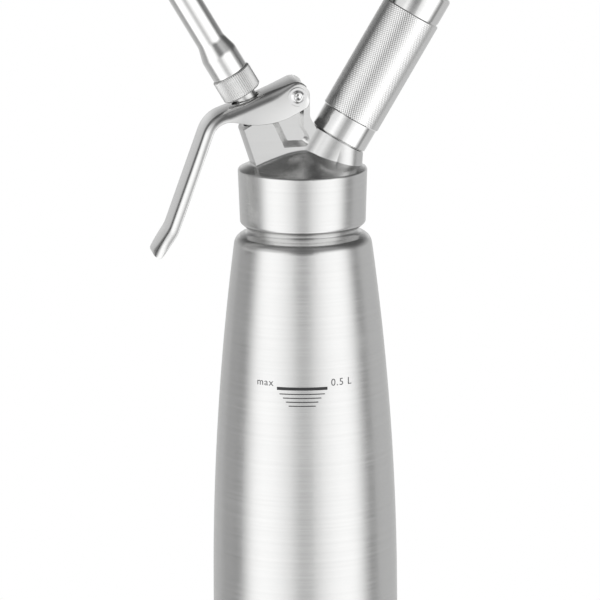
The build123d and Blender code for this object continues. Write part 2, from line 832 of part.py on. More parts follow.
# Least gap of the wire to itself, between points at least half a turn apart
wire_steps = coil_samples * spring_turns
wire_points = [coil.line @ (step / wire_steps) for step in range(wire_steps + 1)]
wire_gaps = [
    (far - near).length
    for place, near in enumerate(wire_points)
    for far in wire_points[place + coil_samples // 2 :]
]
print("least gap between spring turns", round(min(wire_gaps) - 2 * spring_wire_radius, 3))

# Nozzle: fluted nut on the stem's thread, gasket, and the pouring tube screwed into the nut
nut_top = nozzle_level + nut_height
nozzle_gasket_bottom = stem_top + face_gap
spigot_bottom = nozzle_gasket_bottom + nozzle_gasket_thickness + face_gap
nut_bore = stem_thread_radius + thread_gap
with BuildPart() as nozzle_nut:
    turn(
        valve_section,
        valve_axis,
        [
            (nut_bore, nozzle_level),
            (nut_radius - nut_chamfer, nozzle_level),
            (nut_radius, nozzle_level + nut_chamfer),
            (nut_radius, nut_top - nut_chamfer),
            (nut_radius - nut_chamfer, nut_top),
            (nozzle_spigot_radius + running_gap, nut_top),
            (nozzle_spigot_radius + running_gap, spigot_bottom - face_gap),
            (nut_bore, spigot_bottom - face_gap),
        ],
    )
nozzle_nut.part.label = "nozzle_nut"
export_step(nozzle_nut.part, "parts/nozzle_nut.step")

with BuildPart() as nozzle_gasket:
    with BuildSketch(across_valve(nozzle_gasket_bottom)):
        Circle(nut_bore - slip_gap)
        Circle(stem_bore_radius + slip_gap, mode=Mode.SUBTRACT)
    extrude(amount=nozzle_gasket_thickness)
nozzle_gasket.part.label = "nozzle_gasket"
export_step(nozzle_gasket.part, "parts/nozzle_gasket.step")

barrel_bottom = nut_top + face_gap
barrel_top = barrel_bottom + barrel_length
neck_end = barrel_top + nozzle_neck_length
tube_end = neck_end + nozzle_tube_length
nozzle_end = tube_end + nozzle_tip_length
with BuildPart() as nozzle_tube:
    turn(
        valve_section,
        valve_axis,
        [
            (nozzle_bore_radius, spigot_bottom),
            (nozzle_spigot_radius, spigot_bottom),
            (nozzle_spigot_radius, barrel_bottom),
            (barrel_radius, barrel_bottom),
            (barrel_radius, barrel_top),
            (nozzle_radius, neck_end),
            (nozzle_radius, tube_end),
            (nozzle_tip_radius, nozzle_end),
            (nozzle_tip_bore_radius, nozzle_end),
            (nozzle_bore_radius, tube_end),
        ],
        [0, 0, 0, nut_chamfer / 2, nozzle_neck_round, nozzle_neck_round]
        + [nozzle_neck_round, nozzle_lip_round, nozzle_lip_round, 0],
    )
nozzle_tube.part.label = "nozzle_tube"
export_step(nozzle_tube.part, "parts/nozzle_tube.step")

# Gas charger: a steel flask, neck down, with the disc that the needle has pierced
charger_top = charger_foot + charger_length
shoulder_low = charger_foot + charger_neck_length
shoulder_high = shoulder_low + charger_shoulder_length
cap_recess = charger_cap_radius + running_gap
with BuildPart() as charger:
    turn(
        charger_section,
        charger_axis,
        [
            (0, charger_foot),
            (charger_neck_radius, charger_foot),
            (charger_neck_radius, shoulder_low),
            (charger_radius, shoulder_high),
            (charger_radius, charger_top),
            (0, charger_top),
        ],
        [0, 0, charger_shoulder_length / 4, charger_shoulder_length / 2, charger_end_round, 0],
    )
    turn(
        charger_section,
        charger_axis,
        [
            (0, charger_foot + charger_cap_thickness),
            (charger_neck_radius - charger_wall, charger_foot + charger_cap_thickness),
            (charger_neck_radius - charger_wall, shoulder_low + charger_wall / 2),
            (charger_radius - charger_wall, shoulder_high + charger_wall / 2),
            (charger_radius - charger_wall, charger_top - charger_wall),
            (0, charger_top - charger_wall),
        ],
        [0, 0, 0, 0, charger_end_round - charger_wall, 0],
        mode=Mode.SUBTRACT,
    )
    with BuildSketch(across_charger(charger_foot)):
        Circle(cap_recess)
    extrude(amount=charger_cap_thickness, mode=Mode.SUBTRACT)
charger.part.label = "charger"
export_step(charger.part, "parts/charger.step")

with BuildPart() as charger_cap:
    with BuildSketch(across_charger(charger_foot)):
        Circle(charger_cap_radius)
        Circle(pierced_hole_radius, mode=Mode.SUBTRACT)
    extrude(amount=charger_cap_thickness - face_gap)
charger_cap.part.label = "charger_cap"
export_step(charger_cap.part, "parts/charger_cap.step")

# Charger holder: a knurled sleeve closed at its outer end
holder_bottom = boss_top + holder_gap
holder_top = holder_bottom + holder_length
grip_bottom = holder_bottom + holder_band_length
grip_top = grip_bottom + holder_grip_length
holder_thread_bore = spigot_radius + thread_gap
holder_bore = charger_radius + holder_bore_gap
holder_bore_floor = spigot_top + holder_gap + slip_gap
holder_ceiling = charger_top + holder_bore_gap
with BuildPart() as charger_holder:
    turn(
        charger_section,
        charger_axis,
        [
            (holder_thread_bore, holder_bottom),
            (holder_band_radius - holder_mouth_chamfer, holder_bottom),
            (holder_band_radius, holder_bottom + holder_mouth_chamfer),
            (holder_band_radius, grip_bottom),
            (holder_grip_radius, grip_bottom),
            (holder_grip_radius, grip_top),
            (holder_groove_radius, grip_top),
            (holder_groove_radius, grip_top + holder_groove_width),
            (holder_cap_radius, grip_top + holder_groove_width),
            (holder_cap_radius, holder_top),
            (0, holder_top),
            (0, holder_ceiling),
            (holder_bore, holder_ceiling),
            (holder_bore, holder_bore_floor),
            (holder_thread_bore, holder_bore_floor),
        ],
        [0] * 9 + [holder_end_round] + [0] * 5,
    )
charger_holder.part.label = "charger_holder"
export_step(charger_holder.part, "parts/charger_holder.step")

# Piercing unit in the boss: seal, threaded bush, needle and gas filter
with BuildPart() as piercing_seal:
    with BuildSketch(across_charger(piercing_seal_bottom)):
        Circle(neck_bore - running_gap)
        Circle(piercing_seal_bore, mode=Mode.SUBTRACT)
    extrude(amount=piercing_seal_thickness)
piercing_seal.part.label = "piercing_seal"
export_step(piercing_seal.part, "parts/piercing_seal.step")

with BuildPart() as piercing_bush:
    with BuildSketch(across_charger(bush_bottom)):
        Circle(neck_bore - running_gap)
        Circle(pin_shaft_radius + running_gap, mode=Mode.SUBTRACT)
        with PolarLocations(bush_vent_circle, 4):
            Circle(bush_vent_radius, mode=Mode.SUBTRACT)
    extrude(amount=bush_length)
    with BuildSketch(across_charger(bush_bottom)):
        Circle(pin_collar_radius + running_gap)
    extrude(amount=pin_collar_length + face_gap, mode=Mode.SUBTRACT)
piercing_bush.part.label = "piercing_bush"
export_step(piercing_bush.part, "parts/piercing_bush.step")

pin_tip = charger_foot + pin_tip_reach
with BuildPart() as piercing_pin:
    turn(
        charger_section,
        charger_axis,
        [
            (0, bush_bottom),
            (pin_collar_radius, bush_bottom),
            (pin_collar_radius, bush_bottom + pin_collar_length),
            (pin_shaft_radius, bush_bottom + pin_collar_length),
            (pin_shaft_radius, pin_tip - pin_point_length),
            (0, pin_tip),
        ],
    )
piercing_pin.part.label = "piercing_pin"
export_step(piercing_pin.part, "parts/piercing_pin.step")

with BuildPart() as gas_filter:
    with BuildSketch(across_charger(filter_bottom)):
        Circle(neck_bore - running_gap)
    extrude(amount=filter_thickness)
gas_filter.part.label = "gas_filter"
export_step(gas_filter.part, "parts/gas_filter.step")

# Check valve: a rubber plug with a soft lip that lets gas into the bottle only
check_valve_bottom = check_valve_top - check_valve_length
with BuildPart() as check_valve:
    turn(
        charger_section,
        charger_axis,
        [
            (check_valve_bore_radius, check_valve_top - face_gap),
            (check_valve_radius, check_valve_top - face_gap),
            (check_valve_radius, check_valve_bottom),
            (check_valve_lip_radius, check_valve_bottom - check_valve_lip_length),
            (check_valve_bore_radius, check_valve_bottom - check_valve_lip_length),
        ],
    )
check_valve.part.label = "check_valve"
export_step(check_valve.part, "parts/check_valve.step")
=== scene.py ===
"""Looks of a cream whipper: satin steel pieces dressed in the part's own frame, in a light tent."""

import logging
from dataclasses import dataclass
from enum import Enum
from math import acos, asin, copysign, cos, degrees, hypot, pi, radians, sin, sqrt, tan
from typing import Optional, Sequence

import bmesh
import bpy
from mathutils import Matrix, Vector


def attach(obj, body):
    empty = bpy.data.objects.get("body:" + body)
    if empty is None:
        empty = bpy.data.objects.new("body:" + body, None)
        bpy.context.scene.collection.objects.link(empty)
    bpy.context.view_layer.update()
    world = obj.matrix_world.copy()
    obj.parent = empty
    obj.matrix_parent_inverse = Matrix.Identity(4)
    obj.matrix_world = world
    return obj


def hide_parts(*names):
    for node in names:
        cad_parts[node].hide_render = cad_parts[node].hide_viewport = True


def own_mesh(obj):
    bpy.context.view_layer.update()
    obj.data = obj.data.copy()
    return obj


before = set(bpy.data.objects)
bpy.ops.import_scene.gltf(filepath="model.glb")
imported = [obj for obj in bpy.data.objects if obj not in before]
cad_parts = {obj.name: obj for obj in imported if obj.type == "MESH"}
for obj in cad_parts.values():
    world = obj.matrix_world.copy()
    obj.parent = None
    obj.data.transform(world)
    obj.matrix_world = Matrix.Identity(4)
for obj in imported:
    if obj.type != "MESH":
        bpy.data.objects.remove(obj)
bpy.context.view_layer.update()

Point = tuple[float, float]
Colour = tuple[float, float, float]
Face = tuple[int, ...]
Solid = tuple[list[Vector], list[Face]]
Socket = bpy.types.NodeSocket
Sockets = bpy.types.bpy_prop_collection

log = logging.getLogger("cream_whipper")

# Pieces are sized in millimetres, and the studio in metres like the frame
MM = 0.001

# Points of a mesh closer than this, in metres, are one point; a cut leaves wider slivers
MESH_GAP = 1e-7
CUT_GAP = 1e-6

# Two lines whose ways turn less than this run side by side
LEAST_TURN = 1e-12


# Plane geometry


def moved(point: Point, way: Point, distance: float) -> Point:
    """A point moved along a direction of its plane."""
    return (point[0] + way[0] * distance, point[1] + way[1] * distance)


def down(lean: float) -> Point:
    """The way down a line that leans by some degrees, with its foot towards -X."""
    return (-sin(radians(lean)), -cos(radians(lean)))


def inside(way: Point) -> Point:
    """The way into the lever, square to a way that runs from its pivot to its tip."""
    return (-way[1], way[0])


def crossing(first: Point, first_way: Point, second: Point, second_way: Point) -> Point:
    """Find where two lines of one plane cross.

    Args:
        first: a point of the first line.
        first_way: the first line's direction.
        second: a point of the second line.
        second_way: the second line's direction.

    Returns:
        The common point.
    """
    turn = first_way[0] * second_way[1] - first_way[1] * second_way[0]
    gap = (second[0] - first[0], second[1] - first[1])
    return moved(first, first_way, (gap[0] * second_way[1] - gap[1] * second_way[0]) / turn)


def rounded(corners: Sequence[tuple[Point, float]], step: float) -> list[Point]:
    """Round the corners of a line of points.

    Args:
        corners: each corner with its radius, 0 for a sharp one and for the ends of an open line.
        step: degrees of arc between the points put out.

    Returns:
        The points of the rounded line.
    """
    line: list[Point] = []
    for place, (corner, radius) in enumerate(corners):
        if radius <= 0:
            line.append(corner)
            continue
        back = Vector(corners[place - 1][0]) - Vector(corner)
        ahead = Vector(corners[(place + 1) % len(corners)][0]) - Vector(corner)
        back.normalize()
        ahead.normalize()
        half = acos(max(-1.0, min(1.0, back.dot(ahead)))) / 2
        centre = Vector(corner) + (back + ahead).normalized() * (radius / sin(half))
        start = Vector(corner) + back * (radius / tan(half)) - centre
        sweep = pi - 2 * half
        side = 1.0 if back.x * ahead.y - back.y * ahead.x < 0 else -1.0
        steps = max(2, round(degrees(sweep) / step))
        for part in range(steps + 1):
            angle = side * sweep * part / steps
            x = start.x * cos(angle) - start.y * sin(angle)
            y = start.x * sin(angle) + start.y * cos(angle)
            line.append((centre.x + x, centre.y + y))
    return line


def depths(start: Point, way: Point, outline: Sequence[Point]) -> list[float]:
    """Measure where a ray meets a closed outline.

    Args:
        start: where the ray starts.
        way: its direction, of length 1.
        outline: the closed outline's points.

    Returns:
        The distances from the start, nearest first.
    """
    found: list[float] = []
    for place, tail in enumerate(outline):
        head = outline[(place + 1) % len(outline)]
        edge = (head[0] - tail[0], head[1] - tail[1])
        turn = way[0] * edge[1] - way[1] * edge[0]
        if abs(turn) < LEAST_TURN:
            continue
        gap = (tail[0] - start[0], tail[1] - start[1])
        share = (gap[0] * way[1] - gap[1] * way[0]) / turn
        reach = (gap[0] * edge[1] - gap[1] * edge[0]) / turn
        if 0 <= share < 1 and reach > 0:
            found.append(reach)
    return sorted(found)


def circle(radius: float, count: int) -> list[Point]:
    """Points of a circle round the origin, half a step away from the axes."""
    angles = [2 * pi * (step + 0.5) / count for step in range(count)]
    return [(radius * cos(angle), radius * sin(angle)) for angle in angles]


def eased(low: float, high: float, value: float) -> float:
    """A smooth step from 0 at low to 1 at high."""
    share = max(0.0, min(1.0, (value - low) / (high - low)))
    return share * share * (3 - 2 * share)


def between(stops: Sequence[Point], value: float) -> float:
    """Read a line of stops at a value.

    Args:
        stops: pairs of a value and what belongs to it, in order.
        value: where to read.

    Returns:
        What belongs to the value, straight between neighbours.
    """
    for (left, low), (right, high) in zip(stops, stops[1:]):
        if left <= value <= right:
            return low + (high - low) * (value - left) / (right - left)
    return stops[-1][1]


@dataclass(frozen=True)
class TiltedAxis:
    """A straight axis in the part's upright plane; its tilt is towards +X."""

    height: float
    tilt: float

    @property
    def along(self) -> Vector:
        """The way up the axis."""
        return Vector((sin(radians(self.tilt)), 0, cos(radians(self.tilt))))

    @property
    def across(self) -> Vector:
        """The way across it, in the upright plane."""
        return Vector((cos(radians(self.tilt)), 0, -sin(radians(self.tilt))))

    def spot(self, radius: float, angle: float, level: float) -> Vector:
        """The point at a radius, an angle in radians and a level along the axis."""
        ring = self.across * (radius * cos(angle)) + Vector((0, radius * sin(angle), 0))
        return Vector((0, 0, self.height)) + self.along * level + ring


UPRIGHT = TiltedAxis(0.0, 0.0)
VALVE_AXIS = TiltedAxis(197.9, -30.5)
CHARGER_AXIS = TiltedAxis(194.4, 30.8)


# Meshes


def linked(name: str, data: bpy.types.ID) -> bpy.types.Object:
    """Make an object of a mesh, a curve or a camera and put it in the scene.

    Args:
        name: the object's name.
        data: what it shows.

    Returns:
        The new object.
    """
    made = bpy.data.objects.new(name, data)
    bpy.context.scene.collection.objects.link(made)
    return made


def soften(mesh: bpy.types.Mesh, smooth_angle: float) -> None:
    """Shade a mesh smooth apart from edges sharper than an angle in degrees."""
    mesh.polygons.foreach_set("use_smooth", [True] * len(mesh.polygons))
    mesh.set_sharp_from_angle(angle=radians(smooth_angle))


def clean(mesh: bpy.types.Mesh, gap: float, close_holes: bool = False) -> None:
    """Tidy a mesh and turn all its faces outwards.

    Args:
        mesh: the mesh.
        gap: points closer than this are joined, and faces narrower than this dropped.
        close_holes: whether holes left by a cut are closed.
    """
    work = bmesh.new()
    work.from_mesh(mesh)
    bmesh.ops.remove_doubles(work, verts=work.verts, dist=gap)
    bmesh.ops.dissolve_degenerate(work, edges=work.edges, dist=gap)
    if close_holes:
        bmesh.ops.holes_fill(work, edges=[edge for edge in work.edges if edge.is_boundary])
    bmesh.ops.recalc_face_normals(work, faces=work.faces)
    work.to_mesh(mesh)
    work.free()


def mesh_object(name: str, solid: Solid, smooth_angle: float = 32.0) -> bpy.types.Object:
    """Make a mesh object of points given in millimetres.

    Args:
        name: the piece's name.
        solid: its points and faces.
        smooth_angle: edges sharper than this, in degrees, stay crisp.

    Returns:
        The new object, linked to the scene.
    """
    points, faces = solid
    mesh = bpy.data.meshes.new(name)
    mesh.from_pydata([point * MM for point in points], [], faces)
    clean(mesh, MESH_GAP)
    soften(mesh, smooth_angle)
    return linked(name, mesh)


def band(first: int, second: int, size: int) -> list[Face]:
    """The faces between two rings of points, given by the numbers of their first points."""
    steps = [(step, (step + 1) % size) for step in range(size)]
    return [(first + step, first + ahead, second + ahead, second + step) for step, ahead in steps]


def turned_rows(axis: TiltedAxis, rows: Sequence[Sequence[float]], levels: Sequence[float]) -> Solid:
    """Join rings of radii that may differ round the axis into a closed solid.

    Args:
        axis: the axis of the turning.
        rows: for each point of the outline, the radius at each step round.
        levels: the level of each row.

    Returns:
        The solid's points and faces.
    """
    segments = len(rows[0])
    points = [
        axis.spot(radius, 2 * pi * step / segments, level)
        for row, level in zip(rows, levels)
        for step, radius in enumerate(row)
    ]
    faces: list[Face] = []
    for place in range(len(rows)):
        faces += band(place * segments, (place + 1) % len(rows) * segments, segments)
    return points, faces


def lofted(sections: Sequence[Sequence[Vector]]) -> Solid:
    """Join closed sections into a solid with flat ends.

    Args:
        sections: the sections in order, all of one length.

    Returns:
        The solid's points and faces.
    """
    size = len(sections[0])
    points = [point for section in sections for point in section]
    faces: list[Face] = []
    for place in range(len(sections) - 1):
        faces += band(place * size, (place + 1) * size, size)
    faces.append(tuple(range(size)))
    faces.append(tuple(range(len(points) - size, len(points))))
    return points, faces


def cut_away(piece: bpy.types.Object, cutters: Sequence[bpy.types.Object], smooth_angle: float) -> None:
    """Take solids out of a piece and delete them.

    Args:
        piece: the object that is cut.
        cutters: the solids to take out.
        smooth_angle: edges sharper than this, in degrees, stay crisp.
    """
    for cutter in cutters:
        change = piece.modifiers.new("cut", "BOOLEAN")
        change.operation = "DIFFERENCE"
        change.solver = "EXACT"
        change.object = cutter
    bpy.context.view_layer.update()
    view = bpy.context.evaluated_depsgraph_get()
    mesh = bpy.data.meshes.new_from_object(piece.evaluated_get(view))
    clean(mesh, CUT_GAP, close_holes=True)
    soften(mesh, smooth_angle)
    piece.modifiers.clear()
    piece.data = mesh
    for cutter in cutters:
        bpy.data.objects.remove(cutter)


# Finishes


class Grain(Enum):
    """How a surface was finished, which is the way its fine lines run."""

    AROUND = "turned or brushed around the piece's axis"
    ALONG = "drawn or brushed along the piece"
    EVEN = "blasted or tumbled, the same in all directions"


class Shader:
    """Adds nodes to one tree and joins them."""

    # Places of a mix node's colour sockets, which share their names with its other sockets
    FIRST_COLOUR = 6
    SECOND_COLOUR = 7
    MIXED_COLOUR = 2

    def __init__(self, tree: bpy.types.NodeTree) -> None:
        """Keep the tree."""
        self.tree = tree

    def join(self, value: object, socket: Socket) -> None:
        """Link an output to a socket, or give the socket a plain value.

        Args:
            value: an output socket or a plain value.
            socket: the input that takes it.
        """
        if isinstance(value, Socket):
            self.tree.links.new(value, socket)
        else:
            socket.default_value = value

    def add(
        self, kind: str, inputs: Optional[dict[str | int, object]] = None, **settings: object
    ) -> bpy.types.Node:
        """Add a node.

        Args:
            kind: the node's type.
            inputs: values or output sockets for its inputs, by name or place.
            settings: the node's own settings.

        Returns:
            The new node.
        """
        node = self.tree.nodes.new(kind)
        for name, value in settings.items():
            setattr(node, name, value)
        for name, value in (inputs or {}).items():
            self.join(value, node.inputs[name])
        return node

    def sum(self, kind: str, first: object, second: object) -> Socket:
        """The result of one sum with two numbers or sockets."""
        return self.add("ShaderNodeMath", {0: first, 1: second}, operation=kind).outputs[0]

    def noise(
        self, place: Socket, scale: object, detail: float, roughness: float = 0.5, distortion: float = 0.0
    ) -> Socket:
        """Add a cloudy noise.

        Args:
            place: where it is read.
            scale: how many clouds there are to a unit of length.
            detail: how many finer layers it has.
            roughness: how strong those layers are.
            distortion: how far it is stirred.

        Returns:
            The noise, between 0 and 1.
        """
        inputs = {"Vector": place, "Scale": scale, "Detail": detail}
        inputs |= {"Roughness": roughness, "Distortion": distortion}
        return self.add("ShaderNodeTexNoise", inputs).outputs[0]

    def spread(self, value: Socket, low: float, high: float) -> Socket:
        """A value spread out, so that low becomes 0 and high becomes 1."""
        inputs = {"Value": value, "From Min": low, "From Max": high}
        return self.add("ShaderNodeMapRange", inputs).outputs[0]

    def blend(self, share: Socket, first: Colour, second: Colour) -> Socket:
        """A colour between two others, by a share."""
        inputs = {"Factor": share, self.FIRST_COLOUR: (*first, 1.0), self.SECOND_COLOUR: (*second, 1.0)}
        return self.add("ShaderNodeMix", inputs, data_type="RGBA").outputs[self.MIXED_COLOUR]

    def bump(self, strength: float, distance: float, height: Socket) -> Socket:
        """The surface's normal, bumped by a height."""
        inputs = {"Strength": strength, "Distance": distance, "Height": height}
        return self.add("ShaderNodeBump", inputs).outputs[0]

    def effect(self, group: bpy.types.NodeTree, **inputs: object) -> Sockets:
        """What a shared node group puts out, placed with its own values."""
        return self.add("ShaderNodeGroup", inputs, node_tree=group).outputs

    def surface(self, share: Socket, first: bpy.types.Node, second: bpy.types.Node) -> None:
        """Put out a surface that is one shader, mixed into another by a share."""
        both = self.add("ShaderNodeMixShader", {0: share, 1: first.outputs[0], 2: second.outputs[0]})
        self.add("ShaderNodeOutputMaterial", {"Surface": both.outputs[0]})


def open_material(name: str, bare: bool = False) -> tuple[bpy.types.Material, Shader]:
    """Start a material.

    Args:
        name: the material's name.
        bare: whether it starts without the usual shader.

    Returns:
        The material, and a shader on its tree.
    """
    made = bpy.data.materials.new(name)
    made.use_nodes = True
    if bare:
        made.node_tree.nodes.clear()
    return made, Shader(made.node_tree)


class Effects:
    """The node groups that several finishes share."""

    LINE_RANGE = (0.28, 0.72)
    PATCH_RANGE = (0.42, 0.7)

    def __init__(self) -> None:
        """Build each group once."""
        self.brush = self._brush_lines()
        self.marks = self._handling_marks()
        self.grain = self._fine_grain()

    @staticmethod
    def _open(
        name: str, values: dict[str, float], outputs: Sequence[str]
    ) -> tuple[Shader, Sockets, Sockets]:
        """Start a shader node group that is read at a place.

        Args:
            name: the group's name.
            values: its inputs besides the place, with their plain values.
            outputs: the names of its outputs, all plain numbers.

        Returns:
            A shader on the group's tree, what the group is given and the sockets that it puts out.
        """
        tree = bpy.data.node_groups.new(name, "ShaderNodeTree")
        tree.interface.new_socket("Vector", in_out="INPUT", socket_type="NodeSocketVector")
        for label, value in values.items():
            socket = tree.interface.new_socket(label, in_out="INPUT", socket_type="NodeSocketFloat")
            socket.default_value = value
        for label in outputs:
            tree.interface.new_socket(label, in_out="OUTPUT", socket_type="NodeSocketFloat")
        shader = Shader(tree)
        return shader, shader.add("NodeGroupInput").outputs, shader.add("NodeGroupOutput").inputs

    def _brush_lines(self) -> bpy.types.NodeTree:
        """Build fine lines, long in one direction and close in the other.

        Returns:
            The group, which puts out the lines and wider streaks among them.
        """
        shader, given, put = self._open("brush_lines", {"Close": 3000, "Long": 30}, ["Lines", "Streaks"])
        sizes = {0: given["Long"], 1: given["Long"], 2: given["Close"]}
        stretch = shader.add("ShaderNodeCombineXYZ", sizes).outputs[0]
        scaled = shader.add("ShaderNodeVectorMath", {0: given["Vector"], 1: stretch}, operation="MULTIPLY")
        fine = shader.noise(scaled.outputs[0], scale=1.0, detail=3.0, roughness=0.65)
        wide = shader.noise(scaled.outputs[0], scale=0.23, detail=2.0)
        shader.join(shader.spread(fine, *self.LINE_RANGE), put["Lines"])
        shader.join(shader.spread(wide, *self.LINE_RANGE), put["Streaks"])
        return shader.tree

    def _handling_marks(self) -> bpy.types.NodeTree:
        """Build soft patches where hands and cloths have dulled the surface.

        Returns:
            The group, which puts out a mask.
        """
        shader, given, put = self._open("handling_marks", {"Scale": 40, "Amount": 1}, ["Mask"])
        cloud = shader.noise(given["Vector"], given["Scale"], detail=4.0, distortion=0.6)
        patch = shader.spread(cloud, *self.PATCH_RANGE)
        shader.join(shader.sum("MULTIPLY", patch, given["Amount"]), put["Mask"])
        return shader.tree

    def _fine_grain(self) -> bpy.types.NodeTree:
        """Build a fine even grain, such as blasting, casting or moulding leaves.

        Returns:
            The group, which puts out the grain and pits among it.
        """
        shader, given, put = self._open("fine_grain", {"Scale": 3000}, ["Grain", "Pits"])
        shader.join(shader.noise(given["Vector"], given["Scale"], detail=2.0), put["Grain"])
        cells = {"Vector": given["Vector"], "Scale": given["Scale"]}
        shader.join(shader.add("ShaderNodeTexVoronoi", cells).outputs["Distance"], put["Pits"])
        return shader.tree


@dataclass(frozen=True)
class Metal:
    """A metal finish: its colour, gloss, fine lines and handling."""

    name: str
    colour: Colour
    roughness: float
    grain: Grain = Grain.AROUND
    axis: TiltedAxis = UPRIGHT
    close: float = 2600.0
    long: float = 14.0
    line_tone: float = 0.05
    line_gloss: float = 0.07
    line_depth: float = 0.12
    line_height: float = 0.00004
    marks: float = 0.03
    anisotropy: float = 0.0

    def _lines(self, shader: Shader, effects: Effects, place: Socket) -> tuple[Socket, Socket]:
        """Lay the finish's fine lines.

        Args:
            shader: the shader of the finish's material.
            effects: the shared node groups.
            place: the place on the piece.

        Returns:
            The fine lines, and the wider streaks or pits among them.
        """
        if self.grain is Grain.EVEN:
            fine = shader.effect(effects.grain, Vector=place, Scale=self.close)
            return fine["Grain"], fine["Pits"]
        turn = 90.0 if self.grain is Grain.ALONG else 0.0
        rotation = (0, radians(turn - self.axis.tilt), 0)
        aligned = shader.add("ShaderNodeMapping", {"Vector": place, "Rotation": rotation}).outputs[0]
        fine = shader.effect(effects.brush, Vector=aligned, Close=self.close, Long=self.long)
        return fine["Lines"], fine["Streaks"]

    def material(self, effects: Effects) -> bpy.types.Material:
        """Build the finish as a procedural material.

        Args:
            effects: the shared node groups.

        Returns:
            The material.
        """
        made, shader = open_material(self.name)
        body = made.node_tree.nodes["Principled BSDF"].inputs
        body["Metallic"].default_value = 1.0
        body["Anisotropic"].default_value = self.anisotropy
        place = shader.add("ShaderNodeTexCoord").outputs["Object"]
        lines, streaks = self._lines(shader, effects, place)
        both = shader.sum("MULTIPLY", shader.sum("ADD", lines, streaks), 0.5)
        dark = tuple(part * (1 - self.line_tone) for part in self.colour)
        pale = tuple(min(1.0, part * (1 + self.line_tone)) for part in self.colour)
        shader.join(shader.blend(both, dark, pale), body["Base Color"])
        smudge = shader.effect(effects.marks, Vector=place, Amount=self.marks)["Mask"]
        gloss = shader.sum("MULTIPLY", lines, self.line_gloss)
        gloss = shader.sum("ADD", gloss, self.roughness - self.line_gloss / 2)
        shader.join(shader.sum("ADD", gloss, smudge), body["Roughness"])
        shader.join(shader.bump(self.line_depth, self.line_height, lines), body["Normal"])
        if self.anisotropy:
            tangent = shader.add("ShaderNodeTangent", direction_type="RADIAL", axis="Z")
            shader.join(tangent.outputs[0], body["Tangent"])
        return made


@dataclass(frozen=True)
class Rubber:
    """A soft moulded or printed finish with a fine grain and a faint bloom."""

    name: str
    colour: Colour
    roughness: float = 0.5
    grain_scale: float = 2400.0
    grain_gloss: float = 0.16
    grain_depth: float = 0.15
    grain_height: float = 0.00005
    bloom_scale: float = 120.0
    bloom_tone: float = 0.93

    def material(self, effects: Effects) -> bpy.types.Material:
        """Build the finish as a procedural material.

        Args:
            effects: the shared node groups.

        Returns:
            The material.
        """
        made, shader = open_material(self.name)
        body = made.node_tree.nodes["Principled BSDF"].inputs
        place = shader.add("ShaderNodeTexCoord").outputs["Object"]
        bloom = shader.effect(effects.marks, Vector=place, Scale=self.bloom_scale)["Mask"]
        dark = tuple(part * self.bloom_tone for part in self.colour)
        shader.join(shader.blend(bloom, dark, self.colour), body["Base Color"])
        grain = shader.effect(effects.grain, Vector=place, Scale=self.grain_scale)["Grain"]
        gloss = shader.sum("MULTIPLY", grain, self.grain_gloss)
        shader.join(shader.sum("ADD", gloss, self.roughness - self.grain_gloss / 2), body["Roughness"])
        shader.join(shader.bump(self.grain_depth, self.grain_height, grain), body["Normal"])
        return made


Finish = Metal | Rubber
STEEL_WARMTH = 0.005
BRASS = (0.78, 0.6, 0.28)


def steel(tone: float) -> Colour:
    """The grey of steel, a little warmer than an even grey."""
    return (tone, tone, tone - STEEL_WARMTH)


SATIN_STEEL = Metal(
    "satin_steel", steel(0.74), 0.21,
    line_tone=0.04, line_depth=0.06, anisotropy=0.75,
)
HEAD_STEEL = Metal(
    "head_steel", steel(0.74), 0.22,
    close=3200, line_tone=0.04, line_depth=0.06, anisotropy=0.6,
)
LEVER_STEEL = Metal(
    "lever_steel", steel(0.79), 0.22, Grain.EVEN,
    line_tone=0.02, line_depth=0.03,
)
NOZZLE_STEEL = Metal(
    "nozzle_steel", steel(0.93), 0.215, axis=VALVE_AXIS,
    close=3600, line_tone=0.02, line_depth=0.06,
)
BRIGHT_STEEL = Metal(
    "bright_steel", (0.8, 0.8, 0.8), 0.1, Grain.EVEN,
    close=1800, line_tone=0.02, line_gloss=0.05, line_depth=0.04,
)
PLATED_STEEL = Metal(
    "plated_steel", (0.68, 0.69, 0.7), 0.2, Grain.ALONG, CHARGER_AXIS,
    close=1500, long=60, line_depth=0.05,
)
FILTER_METAL = Metal(
    "filter_metal", (0.58, 0.48, 0.3), 0.5, Grain.EVEN,
    close=5000, line_tone=0.2, line_depth=0.6,
)
KNURL_STEEL = Metal("knurl_steel", steel(0.88), 0.13, axis=CHARGER_AXIS, close=3400, line_tone=0.03)
NUT_STEEL = Metal("nut_steel", steel(0.77), 0.46, axis=VALVE_AXIS, close=3400, line_tone=0.03)
STEM_STEEL = Metal("stem_steel", steel(0.72), 0.22, axis=VALVE_AXIS, close=3400)
SPRING_WIRE = Metal("spring_wire", (0.6, 0.6, 0.6), 0.26, Grain.EVEN, close=2000, line_tone=0.08)
VALVE_BRASS = Metal("valve_brass", BRASS, 0.26, axis=VALVE_AXIS, close=3000)
BUSH_BRASS = Metal("bush_brass", BRASS, 0.26, axis=CHARGER_AXIS, close=3000)
SILICONE = Rubber("silicone", (0.78, 0.78, 0.76))
MARK_INK = Rubber("mark_ink", (0.035, 0.035, 0.037))
WORD_INK = Rubber("word_ink", (0.13, 0.13, 0.135))


